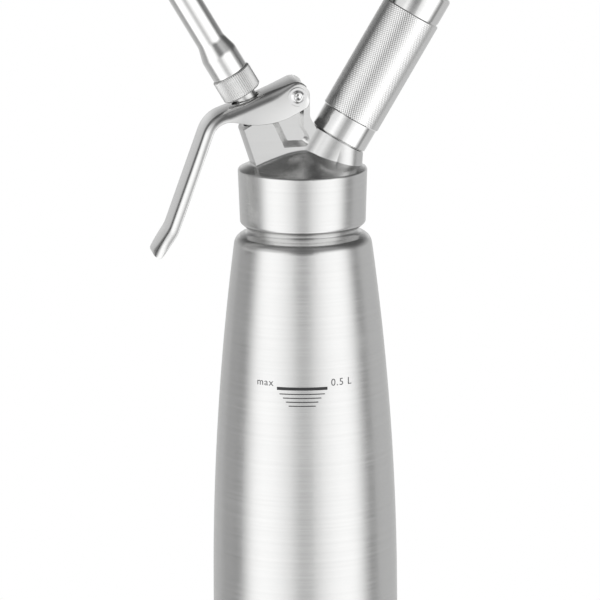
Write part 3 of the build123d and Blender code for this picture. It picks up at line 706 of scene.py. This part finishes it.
class Dresser:
    """Holds the built finishes and puts them on pieces."""

    def __init__(self) -> None:
        """Build the shared node groups."""
        self.effects = Effects()
        self.ready: dict[str, bpy.types.Material] = {}

    def _wear(self, mesh: bpy.types.Mesh, finish: Finish) -> None:
        """Give a mesh one finish, which is built at its first use.

        Args:
            mesh: the mesh.
            finish: its finish.
        """
        if finish.name not in self.ready:
            self.ready[finish.name] = finish.material(self.effects)
        mesh.materials.clear()
        mesh.materials.append(self.ready[finish.name])

    def nodes(self, finish: Finish, *names: str) -> None:
        """Dress solids of the frame as they are.

        Args:
            finish: their finish.
            names: the solids' nodes.
        """
        for name in names:
            self._wear(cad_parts[name].data, finish)
            log.info("%s: %s", name, finish.name)

    def piece(self, piece: bpy.types.Object, finish: Finish, body: str, slot: str, *nodes: str) -> None:
        """Dress a new piece and set it on its body.

        Args:
            piece: the new object.
            finish: its finish.
            body: the body it moves with.
            slot: the record's material slot, which is not used here.
            nodes: the solids that it stands for.
        """
        self._wear(piece.data, finish)
        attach(piece, body)
        if nodes:
            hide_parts(*nodes)
        log.info("%s: %s, on %s", piece.name, finish.name, body)


# Sub-assemblies


class WordEnd(Enum):
    """Which end of a word lies at its place, in the words of a text curve."""

    FIRST_LETTER = "LEFT"
    LAST_LETTER = "RIGHT"


@dataclass
class Bottle:
    """The drawn flask with its printed fill mark and the gasket on its rim."""

    radius: float = 40.0
    taper_start: float = 20.0
    shoulder_radius: float = 29.7
    shoulder_height: float = 175.4
    mark_azimuth: float = -9.3
    mark_height: float = 118.8
    ink_rise: float = 0.04
    bar_width: float = 21.9
    bar_thick: float = 1.3
    line_widths: tuple[float, ...] = (19.6, 16.5, 13.9, 11.6)
    line_thick: float = 0.42
    line_start: float = 2.3
    line_pitch: float = 1.7
    fewest_steps: int = 8
    letter_size: float = 4.3
    letter_spacing: float = 1.15
    letter_rise: float = 0.9
    letter_gap: float = 1.6

    def side(self, height: float) -> float:
        """Work out the long arc of the side.

        Args:
            height: the height above the base.

        Returns:
            The outer radius there.
        """
        run = self.shoulder_height - self.taper_start
        drop = self.radius - self.shoulder_radius
        bend = (run * run + drop * drop) / (2 * drop)
        return self.radius - bend + sqrt(bend * bend - (height - self.taper_start) ** 2)

    def wrapped(self, across: float, up: float) -> Vector:
        """Lay a point of the fill mark on the side.

        Args:
            across: its distance across from the mark's middle.
            up: its distance up.

        Returns:
            The point, as far off the side as the ink is thick.
        """
        height = self.mark_height + up
        reach = self.side(height)
        angle = radians(self.mark_azimuth) + across / reach
        reach += self.ink_rise
        return Vector((reach * sin(angle), -reach * cos(angle), height))

    def bars(self) -> bpy.types.Object:
        """Build the fill bar and the shorter lines below it.

        Returns:
            The new piece.
        """
        points: list[Vector] = []
        faces: list[Face] = []
        lines = [(self.bar_width, 0.0, self.bar_thick)]
        for place, width in enumerate(self.line_widths):
            lines.append((width, -self.line_start - self.line_pitch * place, self.line_thick))
        for width, middle, thick in lines:
            steps = max(self.fewest_steps, round(width))
            for step in range(steps + 1):
                across = width * (step / steps - 0.5)
                points.append(self.wrapped(across, middle - thick / 2))
                points.append(self.wrapped(across, middle + thick / 2))
                if step:
                    last = len(points) - 4
                    faces.append((last, last + 2, last + 3, last + 1))
        return mesh_object("fill_bars", (points, faces))

    def word(self, name: str, text: str, across: float, end: WordEnd) -> bpy.types.Object:
        """Lay a short word on the side.

        Args:
            name: the piece's name.
            text: the letters.
            across: where the word starts or ends.
            end: which of the two.

        Returns:
            The new piece.
        """
        curve = bpy.data.curves.new(name, "FONT")
        curve.body = text
        curve.size = self.letter_size
        curve.space_character = self.letter_spacing
        curve.align_x = end.value
        holder = linked(name, curve)
        view = bpy.context.evaluated_depsgraph_get()
        flat = bpy.data.meshes.new_from_object(holder.evaluated_get(view))
        bpy.data.objects.remove(holder)
        points = [self.wrapped(across + spot.co.x, self.letter_rise + spot.co.y) for spot in flat.vertices]
        faces = [tuple(face.vertices) for face in flat.polygons]
        return mesh_object(name, (points, faces))

    def build(self, dresser: Dresser) -> None:
        """Dress the flask and its gasket, and print the fill mark.

        Args:
            dresser: puts on the finishes.
        """
        dresser.nodes(SATIN_STEEL, "bottle")
        dresser.nodes(SILICONE, "head_gasket")
        dresser.piece(self.bars(), MARK_INK, "bottle", "fill_mark")
        edge = self.bar_width / 2 + self.letter_gap
        word = self.word("fill_word", "max", -edge, WordEnd.LAST_LETTER)
        dresser.piece(word, WORD_INK, "bottle", "fill_mark")
        volume = self.word("fill_volume", "0.5 L", edge, WordEnd.FIRST_LETTER)
        dresser.piece(volume, WORD_INK, "bottle", "fill_mark")


@dataclass
class Head:
    """The head with its pivot, and what is built into it, all as the frame has them."""

    def build(self, dresser: Dresser) -> None:
        """Dress the solids of the head.

        Args:
            dresser: puts on the finishes.
        """
        dresser.nodes(HEAD_STEEL, "head_body")
        dresser.nodes(BRIGHT_STEEL, "pivot_screw", "pivot_nut", "piercing_pin")
        dresser.nodes(SILICONE, "piercing_seal", "check_valve")
        dresser.nodes(BUSH_BRASS, "piercing_bush")
        dresser.nodes(FILTER_METAL, "gas_filter")


@dataclass
class Lever:
    """The pressed lever: web, two cheeks, long handle and flared tip."""

    # The outline seen from the side
    pivot: Point = (-3.4, 240.8)
    cheek_end_reach: float = 5.2
    cheek_end_round: float = 5.4
    web_slope: float = 22.2
    web_offset: float = 6.2
    knee_reach: float = 39.0
    knee_round: float = 15.0
    handle_lean: float = 20.1
    handle_length: float = 50.2
    handle_depth: float = 4.3
    flare_lean: float = 34.2
    flare_length: float = 13.0
    flare_round: float = 14.0
    tip_round: float = 2.0
    inner_knee_round: float = 8.0
    belly: Point = (-14.9, 227.2)
    belly_round: float = 33.0
    chin_rise: float = 4.4
    chin_round: float = 3.5

    # The outline seen from above
    cheek_half_width: float = 10.7
    handle_half_width: float = 11.5
    tip_half_width: float = 10.8
    taper_before_knee: float = 11.0
    taper_past_knee: float = 3.0
    taper_blend: float = 4.0
    tip_corner_round: float = 7.5

    # The pressed section
    wall: float = 1.8
    bend_round: float = 4.2
    end_bend_round: float = 1.2
    end_bend_reach: float = 14.0
    bend_share: float = 0.85
    inner_bend_round: float = 0.7
    least_inner_bend: float = 0.3
    foot_round: float = 0.5
    foot_share: float = 0.14
    least_bend: float = 0.02
    least_foot_round: float = 0.01
    least_reach: float = 0.05

    # The openings
    web_end_reach: float = 1.2
    open_end_levels: Point = (200.0, 280.0)
    open_end_reach: float = 60.0
    slot_levels: Point = (38.0, 50.4)
    slot_slip: float = 2.0
    slot_reach: float = 5.6
    slot_steps: int = 48
    pivot_hole: float = 2.56
    pivot_hole_reach: float = 15.0
    pivot_hole_steps: int = 40

    # The mesh
    outline_step: float = 3.0
    back_step: float = 4.0
    pace: float = 0.75
    tip_pace: float = 0.15
    tip_run: float = 2.8
    bend_steps: int = 8
    foot_steps: int = 3
    ray_lead: float = 1.0
    least_depth: float = 0.15
    channel_overrun: float = 3.0
    crisp_angle: float = 28.0

    def __post_init__(self) -> None:
        """Work out the lines that the sizes give."""
        slope = radians(self.web_slope)
        web_way = (-cos(slope), -sin(slope))
        handle_way = down(self.handle_lean)
        flare_way = down(self.flare_lean)
        web_foot = moved(self.pivot, inside(web_way), -self.web_offset)
        self.knee = moved(web_foot, web_way, self.knee_reach)
        flare = moved(self.knee, handle_way, self.handle_length)
        self.tip = moved(flare, flare_way, self.flare_length)
        tip_inner = moved(self.tip, inside(flare_way), self.handle_depth)
        handle_inner = moved(self.knee, inside(handle_way), self.handle_depth)
        flare_inner = crossing(tip_inner, flare_way, handle_inner, handle_way)
        end_x = self.pivot[0] + self.cheek_end_reach
        brow = crossing(web_foot, web_way, (end_x, 0.0), (0.0, 1.0))
        chin = (end_x, self.pivot[1] - self.chin_rise)
        inner_way = (-cos(slope / 2), sin(slope / 2))
        inner_knee = crossing(self.belly, inner_way, handle_inner, handle_way)
        corners = [
            (brow, self.cheek_end_round),
            (self.knee, self.knee_round),
            (flare, self.flare_round),
            (self.tip, self.tip_round),
            (tip_inner, self.tip_round),
            (flare_inner, self.flare_round - self.handle_depth),
            (inner_knee, self.inner_knee_round),
            (self.belly, self.belly_round),
            (chin, self.chin_round),
        ]
        self.outline = rounded(corners, self.outline_step)
        tip_start = moved(self.tip, flare_way, -self.tip_run)
        back = [(brow, 0.0), *corners[1:3], (tip_start, 0.0), (self.tip, 0.0)]
        self.back_line = rounded(back, self.back_step)

    def half_width(self, x: float) -> float:
        """Work out the lever's width, seen from above.

        Args:
            x: the place along the part's X axis.

        Returns:
            The half width there, with the tip's rounded corners.
        """
        near = self.knee[0] + self.taper_before_knee
        far = self.knee[0] - self.taper_past_knee
        end = self.tip[0] - self.wall / 2
        past_knee = eased(near + self.taper_blend, far - self.taper_blend, x)
        down_handle = max(0.0, min(1.0, (far - x) / (far - end)))
        width = self.cheek_half_width
        width -= (self.cheek_half_width - self.handle_half_width) * past_knee
        width -= (self.handle_half_width - self.tip_half_width) * down_handle
        corner = self.tip_corner_round
        into = end + corner - x
        if into > 0:
            width -= corner - sqrt(max(0.0, corner * corner - min(into, corner) ** 2))
        return width

    def bend(self, x: float) -> float:
        """Work out the bend between back and side, which sharpens towards the pivot.

        Args:
            x: the place along the part's X axis.

        Returns:
            The bend's outer radius there.
        """
        end = self.pivot[0] + self.web_end_reach
        sharpened = eased(end - self.end_bend_reach, end, x)
        return self.bend_round - (self.bend_round - self.end_bend_round) * sharpened

    def stations(self) -> list[tuple[Point, Point]]:
        """Space out the places where the lever's sections are taken.

        Returns:
            Points along the lever's back, each with the way inwards.
        """
        line = self.back_line
        places: list[tuple[Point, Point]] = []
        for tail, head in zip(line, line[1:]):
            span = hypot(head[0] - tail[0], head[1] - tail[1])
            way = ((head[0] - tail[0]) / span, (head[1] - tail[1]) / span)
            pace = self.tip_pace if head == line[-1] else self.pace
            steps = max(1, round(span / pace))
            for step in range(steps):
                places.append((moved(tail, way, span * step / steps), inside(way)))
        places.append((line[-1], places[-1][1]))
        return places

    def edges_below(self, spot: Point, inwards: Point) -> list[float]:
        """How deep below a station the outline lies: the lever's back, then its lower edge."""
        start = moved(spot, inwards, -self.ray_lead)
        return [depth - self.ray_lead for depth in depths(start, inwards, self.outline)]

    def section(
        self, spot: Point, inwards: Point, inset: float, top: float, foot: float, bend: float
    ) -> list[Vector]:
        """Build one closed section of the lever or of its channel.

        Args:
            spot: the station on the back line.
            inwards: the way inwards there.
            inset: how far the sides lie inside the lever's own.
            top: the depth of the web's face.
            foot: the depth of the lower edge.
            bend: the radius between web and side.

        Returns:
            The points of the section, from the near side's foot over the web to the far side's.
        """
        room = foot - top
        bend = max(self.least_bend, min(bend, room * self.bend_share))
        edge = self.least_foot_round
        if not inset:
            edge = max(edge, min(self.foot_round, room * self.foot_share))
        half: list[Point] = []
        for step in range(self.foot_steps + 1):
            angle = radians(90 * step / self.foot_steps)
            half.append((edge - edge * sin(angle), foot - edge + edge * cos(angle)))
        for step in range(self.bend_steps + 1):
            angle = radians(90 * step / self.bend_steps)
            half.append((bend - bend * cos(angle), top + bend - bend * sin(angle)))
        points = []
        for side, order in ((-1, half), (1, half[::-1])):
            for into, depth in order:
                x, z = moved(spot, inwards, depth)
                reach = max(self.least_reach, self.half_width(x) - inset - into)
                points.append(Vector((x, side * reach, z)))
        return points

    def shell(self) -> bpy.types.Object:
        """Build the pressed shape before its openings are cut.

        Returns:
            The lever as a full solid.
        """
        sections = []
        for spot, inwards in self.stations():
            edges = self.edges_below(spot, inwards)
            if len(edges) < 2 or edges[1] - edges[0] < self.least_depth:
                continue
            back, foot = edges[:2]
            sections.append(self.section(spot, inwards, 0.0, back, foot, self.bend(spot[0])))
        return mesh_object("lever_arm", lofted(sections))

    def channel(self) -> bpy.types.Object:
        """Build the space inside the lever, open downwards.

        Returns:
            The space as a solid.
        """
        sections = []
        for spot, inwards in self.stations():
            edges = self.edges_below(spot, inwards)
            at_tip = hypot(spot[0] - self.tip[0], spot[1] - self.tip[1]) < self.wall
            if at_tip or len(edges) < 2:
                continue
            bend = max(self.least_inner_bend, min(self.inner_bend_round, self.bend(spot[0]) - self.wall))
            foot = edges[1] + self.channel_overrun
            sections.append(self.section(spot, inwards, self.wall, self.wall, foot, bend))
        return mesh_object("lever_channel", lofted(sections))

    def open_end(self) -> bpy.types.Object:
        """Build the space between the cheeks past the web's end.

        Returns:
            The space as a solid.
        """
        side = self.cheek_half_width - self.wall
        near = self.pivot[0] + self.web_end_reach
        far = self.open_end_reach
        ring = [(near, -side), (far, -side), (far, side), (near, side)]
        sections = [[Vector((*spot, z)) for spot in ring] for z in self.open_end_levels]
        return mesh_object("open_end", lofted(sections))

    def stem_slot(self) -> bpy.types.Object:
        """Build the slot in the web that the valve stem passes through.

        Returns:
            The slot as a solid.
        """
        sections = []
        for level in self.slot_levels:
            centre = VALVE_AXIS.spot(0, 0, level)
            section = []
            for x, y in circle(self.slot_reach, self.slot_steps):
                across = x + copysign(self.slot_slip / 2, x)
                section.append(centre + VALVE_AXIS.across * across + Vector((0, y, 0)))
            sections.append(section)
        return mesh_object("stem_slot", lofted(sections))

    def pivot_bore(self) -> bpy.types.Object:
        """Build the bore of the pivot through both cheeks.

        Returns:
            The bore as a solid.
        """
        sections = []
        for y in (-self.pivot_hole_reach, self.pivot_hole_reach):
            ring = circle(self.pivot_hole, self.pivot_hole_steps)
            sections.append([Vector((self.pivot[0] + x, y, self.pivot[1] + z)) for x, z in ring])
        return mesh_object("pivot_bore", lofted(sections))

    def build(self, dresser: Dresser) -> None:
        """Press the lever, open its channel, end, slot and bore, and dress it.

        Args:
            dresser: puts on the finishes.
        """
        piece = self.shell()
        cutters = [self.channel(), self.open_end(), self.stem_slot(), self.pivot_bore()]
        cut_away(piece, cutters, self.crisp_angle)
        dresser.piece(piece, LEVER_STEEL, "lever", "satin_steel", "lever")


@dataclass
class Valve:
    """The dispensing valve: stem, seals, gland and return spring."""

    gland_top: float = 29.05
    flange_bottom: float = 42.51
    stroke: float = 3.1
    spring_radius: float = 5.2
    wire_radius: float = 0.6
    turns: int = 6
    end_gap: float = 0.15
    lead: float = 1.2
    steps_per_turn: int = 40
    wire_steps: int = 12
    crisp_angle: float = 50.0

    def spring(self) -> bpy.types.Object:
        """Wind the return spring around the stem, with a short straight lead at each end.

        Returns:
            The new piece.
        """
        low = self.gland_top + self.wire_radius + self.end_gap
        high = self.flange_bottom - self.wire_radius - self.end_gap
        count = self.turns * self.steps_per_turn
        coil = []
        for step in range(count + 1):
            angle = 2 * pi * step / self.steps_per_turn
            coil.append(VALVE_AXIS.spot(self.spring_radius, angle, low + (high - low) * step / count))
        first = coil[0] - (coil[1] - coil[0]).normalized() * self.lead
        last = coil[-1] + (coil[-1] - coil[-2]).normalized() * self.lead
        centre = [first, *coil, last]
        angles = [2 * pi * step / self.wire_steps for step in range(self.wire_steps)]
        rings = []
        for place, spot in enumerate(centre):
            before = centre[max(place - 1, 0)]
            after = centre[min(place + 1, len(centre) - 1)]
            way = (after - before).normalized()
            out = way.cross(VALVE_AXIS.along).normalized()
            up = out.cross(way)
            rings.append([spot + (out * cos(turn) + up * sin(turn)) * self.wire_radius for turn in angles])
        return mesh_object("return_spring", lofted(rings), self.crisp_angle)

    def build(self, dresser: Dresser) -> None:
        """Dress the valve's solids and wind its spring once, at one length; nothing here shortens it with
        the stroke.

        Args:
            dresser: puts on the finishes.
        """
        dresser.nodes(STEM_STEEL, "valve_stem", "valve_nut")
        dresser.nodes(SILICONE, "stem_o_rings", "valve_seal")
        dresser.nodes(VALVE_BRASS, "valve_gland")
        piece = self.spring()
        dresser.piece(piece, SPRING_WIRE, "head", "spring_steel", "valve_spring")
        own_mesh(piece)


@dataclass
class Nozzle:
    """The fluted nut, its gasket and the pouring tube."""

    low: float = 50.4
    height: float = 10.5
    radius: float = 8.65
    chamfer: float = 0.7
    bore: float = 5.3
    spigot_bore: float = 6.06
    spigot_level: float = 58.45
    flutes: int = 56
    flute_depth: float = 0.34
    flute_power: float = 0.8
    flute_steps: int = 6
    crisp_angle: float = 24.0

    def nut(self) -> bpy.types.Object:
        """Turn the nut and press its flutes.

        Returns:
            The new piece.
        """
        top = self.low + self.height
        outline = [
            (self.bore, self.low),
            (self.radius - self.chamfer, self.low),
            (self.radius - self.flute_depth, self.low + self.chamfer - self.flute_depth),
            (self.radius, self.low + self.chamfer),
            (self.radius, top - self.chamfer),
            (self.radius - self.flute_depth, top - self.chamfer + self.flute_depth),
            (self.radius - self.chamfer, top),
            (self.spigot_bore, top),
            (self.spigot_bore, self.spigot_level),
            (self.bore, self.spigot_level),
        ]
        fluted = []
        for step in range(self.flutes * self.flute_steps):
            ridge = abs(2 * (step % self.flute_steps) / self.flute_steps - 1) ** self.flute_power
            fluted.append(self.radius - self.flute_depth * (1 - ridge))
        rows = [fluted if radius == self.radius else [radius] * len(fluted) for radius, _ in outline]
        levels = [level for _, level in outline]
        return mesh_object("fluted_nut", turned_rows(VALVE_AXIS, rows, levels), self.crisp_angle)

    def build(self, dresser: Dresser) -> None:
        """Dress the nozzle and build its nut.

        Args:
            dresser: puts on the finishes.
        """
        dresser.nodes(NOZZLE_STEEL, "nozzle_tube")
        dresser.nodes(SILICONE, "nozzle_gasket")
        dresser.piece(self.nut(), NUT_STEEL, "nozzle", "turned_steel", "nozzle_nut")


@dataclass
class ChargerHolder:
    """The knurled sleeve and the gas charger inside it."""

    low: float = 30.7
    length: float = 74.8
    band_radius: float = 12.55
    band_length: float = 10.3
    mouth_chamfer: float = 0.5
    grip_radius: float = 13.05
    grip_length: float = 52.0
    grip_chamfer: float = 0.45
    groove_radius: float = 12.1
    groove_width: float = 0.8
    cap_radius: float = 12.4
    end_round: float = 2.0
    end_step: float = 12.0
    thread_bore: float = 10.3
    bore: float = 9.4
    bore_floor: float = 38.8
    ceiling: float = 95.7
    middle: float = 0.01
    knurls_round: int = 68
    knurl_pitch: float = 1.2
    knurl_depth: float = 0.056
    knurl_steps: int = 4
    crisp_angle: float = 15.0

    def is_peak(self, row: int, step: int) -> bool:
        """Whether a point of the knurl's grid is the middle of a diamond's flat top."""
        half = self.knurl_steps // 2
        return row % half == 0 and step % half == 0 and (row + step) % self.knurl_steps == 0

    def knurl_cut(self, row: int, step: int) -> float:
        """How deep the knurl is at a point of its grid: flat diamonds between crossed valleys."""
        top = self.is_peak(row, step) or (row + step) % 2
        return 0.0 if top else self.knurl_depth

    def split(self, face: Face, row: int, step: int) -> list[Face]:
        """Split a face of the knurl's grid along the edge of a diamond.

        Args:
            face: the face's four points.
            row: its row in the grid.
            step: its step round the grip.

        Returns:
            The two halves.
        """
        a, b, c, d = face
        corners = ((row, step), (row, step + 1), (row + 1, step + 1), (row + 1, step))
        even = (row + step) % 2 == 0
        peaked = any(self.is_peak(*corner) for corner in corners)
        return [(a, b, d), (b, c, d)] if even == peaked else [(a, b, c), (a, c, d)]

    def sleeve(self) -> bpy.types.Object:
        """Turn the sleeve and roll the diamond knurl of its grip.

        Returns:
            The new piece.
        """
        grip_low = self.low + self.band_length
        grip_high = grip_low + self.grip_length
        cap_low = grip_high + self.groove_width
        top = self.low + self.length
        mouth = [
            (self.thread_bore, self.low),
            (self.band_radius - self.mouth_chamfer, self.low),
            (self.band_radius, self.low + self.mouth_chamfer),
            (self.band_radius, grip_low),
            (self.grip_radius - self.grip_chamfer, grip_low),
        ]
        cap = [
            ((self.grip_radius - self.grip_chamfer, grip_high), 0.0),
            ((self.groove_radius, grip_high), 0.0),
            ((self.groove_radius, cap_low), 0.0),
            ((self.cap_radius, cap_low), 0.0),
            ((self.cap_radius, top), self.end_round),
            ((self.middle, top), 0.0),
            ((self.middle, self.ceiling), 0.0),
            ((self.bore, self.ceiling), 0.0),
            ((self.bore, self.bore_floor), 0.0),
            ((self.thread_bore, self.bore_floor), 0.0),
        ]
        run = self.grip_length - 2 * self.grip_chamfer
        count = round(run / self.knurl_pitch) * self.knurl_steps
        segments = self.knurl_steps * self.knurls_round
        rows = [[radius] * segments for radius, _ in mouth]
        levels = [level for _, level in mouth]
        for row in range(count + 1):
            rows.append([self.grip_radius - self.knurl_cut(row, step) for step in range(segments)])
            levels.append(grip_low + self.grip_chamfer + row * run / count)
        for radius, level in rounded(cap, self.end_step):
            rows.append([radius] * segments)
            levels.append(level)
        points, faces = turned_rows(CHARGER_AXIS, rows, levels)
        first = len(mouth) * segments
        last = first + count * segments
        cells = faces[:first]
        for place, face in enumerate(faces[first:last]):
            cells += self.split(face, *divmod(place, segments))
        cells += faces[last:]
        return mesh_object("knurled_sleeve", (points, cells), self.crisp_angle)

    def build(self, dresser: Dresser) -> None:
        """Build the sleeve, and dress it and the charger in it."""
        dresser.piece(self.sleeve(), KNURL_STEEL, "charger_holder", "knurled_steel", "charger_holder")
        dresser.nodes(PLATED_STEEL, "charger", "charger_cap")


# Studio


@dataclass(frozen=True)
class Panel:
    """A lamp or a dark flag on the tent, between two angles from the camera's side and two elevations."""

    left: float
    right: float
    low: float
    high: float
    strength: float
    blur: float = 3.0
    fade: float = 3.0

    def share(self, angle: float, rise: float) -> float:
        """Work out how much of the panel shows in a direction.

        Args:
            angle: the direction's angle from the camera's side, in degrees.
            rise: its elevation, in degrees.

        Returns:
            A share between 0 and 1.
        """
        share = eased(self.left - self.blur, self.left + self.blur, angle)
        share *= 1 - eased(self.right - self.blur, self.right + self.blur, angle)
        share *= eased(self.low - self.fade, self.low + self.fade, rise)
        return share * (1 - eased(self.high - self.fade, self.high + self.fade, rise))


@dataclass
class Studio:
    """A white sweep, a round light tent and the camera at the photograph's angle."""

    # The camera
    azimuth: float = -8.0
    elevation: float = 12.0
    roll: float = 0.4
    distance: float = 2.4
    target: tuple[float, float, float] = (0.0, 0.0, 0.15)
    aim_left: float = 0.001465
    focal: float = 334.08
    sensor: float = 36.0
    sight: float = 50.0

    # The floor, whose shadow fades out between two distances from the bottle's axis
    floor_reach: float = 8.0
    floor_colour: tuple[float, ...] = (0.85, 0.85, 0.85, 1.0)
    shadow_fade: Point = (0.042, 0.062)

    # The tent and its skirt on the floor
    tent_radius: float = 1.5
    tent_middle: float = 0.2
    tent_rounds: int = 240
    tent_rises: int = 60
    skirt_radii: tuple[float, ...] = (0.062, 0.12, 0.2, 0.32, 0.5, 0.9)
    skirt_rise: float = 0.0005
    mirror_radius: float = 0.04

    # Its strength by the angle from the camera's side, and how it fades upwards
    around: tuple[Point, ...] = (
        (0, 0.57), (9, 0.56), (12, 0.87), (20, 0.99), (30, 1.17), (42, 1.29),
        (55, 1.34), (66, 1.3), (74, 1.1), (80, 0.75), (86, 0.38), (92, 0.27),
        (97, 0.28), (104, 0.56), (125, 0.57), (145, 0.56), (165, 0.7), (180, 0.74),
    )
    dusks: tuple[Point, ...] = (
        (0, 0.12), (14, 0.16), (35, 0.36), (75, 0.36), (100, 0.1), (180, 0.08),
    )
    fade_starts: tuple[Point, ...] = (
        (0, -10.0), (14, -4.0), (30, 13.0), (75, 13.0), (100, 0.0), (180, 0.0),
    )
    fade_ends: tuple[Point, ...] = (
        (0, 24.0), (14, 28.0), (30, 46.0), (75, 46.0), (100, 30.0), (180, 30.0),
    )
    zenith: float = 0.1
    zenith_start: float = 55.0
    panels: tuple[Panel, ...] = (
        Panel(-128, -94, -90, 5, 0.41, fade=6.0),
        Panel(-101, -92, -90, 5, 0.3, blur=1.5, fade=6.0),
        Panel(-128, -94, 5, 48, 0.2, fade=6.0),
        Panel(-106, -95, 2, 40, 0.015),
        Panel(-84, -38, 22, 40, 0.78, blur=8.0, fade=8.0),
        Panel(-200, -158, -1, 11, 1.0, blur=5.0, fade=6.0),
        Panel(158, 200, -1, 11, 1.0, blur=5.0, fade=6.0),
    )

    def camera(self) -> None:
        """Set the camera where the photograph was taken."""
        turn = radians(self.azimuth)
        rise = radians(self.elevation)
        roll = radians(self.roll)
        upright = Vector((0, 0, 1))
        away = Vector((sin(turn) * cos(rise), -cos(turn) * cos(rise), sin(rise)))
        spot = Vector(self.target) + away * self.distance
        right = (-away).cross(upright).normalized()
        ahead = (Vector(self.target) - right * self.aim_left - spot).normalized()
        right = ahead.cross(upright).normalized()
        up = right.cross(ahead)
        right, up = right * cos(roll) - up * sin(roll), up * cos(roll) + right * sin(roll)
        data = bpy.data.cameras.new("camera")
        data.lens = self.focal
        data.sensor_width = self.sensor
        data.clip_end = self.sight
        camera = linked("camera", data)
        rows = [(right[k], up[k], -ahead[k], spot[k]) for k in range(3)] + [(0, 0, 0, 1)]
        camera.matrix_world = Matrix(rows)
        bpy.context.scene.camera = camera

    def glow(self, angle: float, rise: float) -> float:
        """Work out the tent's strength in a direction.

        Args:
            angle: the direction's angle from the camera's side, in degrees.
            rise: its elevation, in degrees.

        Returns:
            The strength there.
        """
        side = abs(angle)
        value = between(self.around, side)
        fade = eased(between(self.fade_starts, side), between(self.fade_ends, side), rise)
        value += (between(self.dusks, side) - value) * fade
        value += (self.zenith - value) * eased(self.zenith_start, 90.0, rise)
        for panel in self.panels:
            value += (panel.strength - value) * panel.share(angle, rise)
        return value

    def facing(self, angle: float, reach: float) -> float:
        """Work out where a spot of the floor seems to lie, mirrored in the bottle's round side.

        Args:
            angle: the spot's angle from the camera's side, in degrees.
            reach: its distance from the bottle's axis.

        Returns:
            The angle of the direction in which it seems to lie, in degrees.
        """
        lag = degrees(asin(min(1.0, self.mirror_radius * sin(radians(abs(angle) / 2)) / reach)))
        turned = min(180.0, abs(angle) + lag)
        return turned if angle > 0 else -turned

    def tent_light(self) -> bpy.types.Material:
        """Make the tent's light.

        Returns:
            A material as strong as each point's glow, which the camera doesn't see.
        """
        made, shader = open_material("tent_light", bare=True)
        glow = shader.add("ShaderNodeAttribute", attribute_name="glow").outputs["Fac"]
        light = shader.add("ShaderNodeEmission", {"Strength": glow})
        clear = shader.add("ShaderNodeBsdfTransparent")
        shader.surface(shader.add("ShaderNodeLightPath").outputs["Is Camera Ray"], light, clear)
        return made

    def tent(self) -> None:
        """Build the dome and its skirt on the floor, which light the object."""
        low = degrees(asin((self.skirt_rise - self.tent_middle) / self.tent_radius))
        places = [(radius, self.skirt_rise, low) for radius in self.skirt_radii]
        for step in range(self.tent_rises):
            rise = low + (90.0 - low) * step / self.tent_rises
            height = self.tent_middle + self.tent_radius * sin(radians(rise))
            places.append((self.tent_radius * cos(radians(rise)), height, rise))
        points: list[Vector] = []
        faces: list[Face] = []
        glows: list[float] = []
        for ring, (radius, height, rise) in enumerate(places):
            for step in range(self.tent_rounds):
                angle = -180 + 360 * step / self.tent_rounds
                turn = radians(angle + self.azimuth)
                points.append(Vector((sin(turn), -cos(turn), 0)) * radius + Vector((0, 0, height)))
                seen_at = self.facing(angle, radius) if rise == low else angle
                glows.append(self.glow(seen_at, rise))
            if ring:
                faces += band((ring - 1) * self.tent_rounds, ring * self.tent_rounds, self.tent_rounds)
        mesh = bpy.data.meshes.new("light_tent")
        mesh.from_pydata(points, [], faces)
        mesh.attributes.new("glow", "FLOAT", "POINT").data.foreach_set("value", glows)
        mesh.materials.append(self.tent_light())
        tent = linked("light_tent", mesh)

    def white_floor(self) -> bpy.types.Material:
        """Make the floor's surface: pale cloth at the object's foot, plain white further out.

        Returns:
            The material.
        """
        made, shader = open_material("white_floor", bare=True)
        place = shader.add("ShaderNodeTexCoord").outputs["Object"]
        reach = shader.add("ShaderNodeVectorMath", {0: place}, operation="LENGTH").outputs["Value"]
        path = shader.add("ShaderNodeLightPath").outputs
        seen = shader.sum("MAXIMUM", path["Is Camera Ray"], path["Is Glossy Ray"])
        seen = shader.sum("MAXIMUM", seen, path["Is Transmission Ray"])
        share = shader.sum("MULTIPLY", seen, shader.spread(reach, *self.shadow_fade))
        cloth = shader.add("ShaderNodeBsdfDiffuse", {"Color": self.floor_colour})
        white = shader.add("ShaderNodeEmission", {"Color": (1, 1, 1, 1), "Strength": 1.0})
        shader.surface(share, cloth, white)
        return made

    def floor(self) -> None:
        """Lay the pale floor, which keeps the object's own shadow at its foot."""
        size = self.floor_reach
        mesh = bpy.data.meshes.new("floor")
        corners = [(-size, -size, 0), (size, -size, 0), (size, size, 0), (-size, size, 0)]
        mesh.from_pydata(corners, [], [(0, 1, 2, 3)])
        mesh.materials.append(self.white_floor())
        floor = linked("floor", mesh)

    def world(self) -> None:
        """White behind everything for the camera, a dim room for the metal."""
        made = bpy.data.worlds.new("studio")
        made.use_nodes = True
        made.node_tree.nodes.clear()
        shader = Shader(made.node_tree)
        seen = shader.add("ShaderNodeLightPath").outputs["Is Camera Ray"]
        strength = shader.sum("ADD", shader.sum("MULTIPLY", seen, 1 - self.zenith), self.zenith)
        back = shader.add("ShaderNodeBackground", {"Color": (1, 1, 1, 1), "Strength": strength})
        shader.add("ShaderNodeOutputWorld", {"Surface": back.outputs[0]})
        bpy.context.scene.world = made

    def build(self) -> None:
        """Set up floor, tent, world and camera."""
        bpy.context.scene.view_settings.view_transform = "Standard"
        self.floor()
        self.tent()
        self.world()
        self.camera()


def main() -> None:
    """Dress every sub-assembly in order, then light it."""
    logging.basicConfig(level=logging.INFO, format="%(message)s")
    dresser = Dresser()
    for part in (Bottle(), Head(), Lever(), Valve(), Nozzle(), ChargerHolder()):
        log.info("building %s", type(part).__name__)
        part.build(dresser)
    Studio().build()


if __name__ == "__main__":
    main()
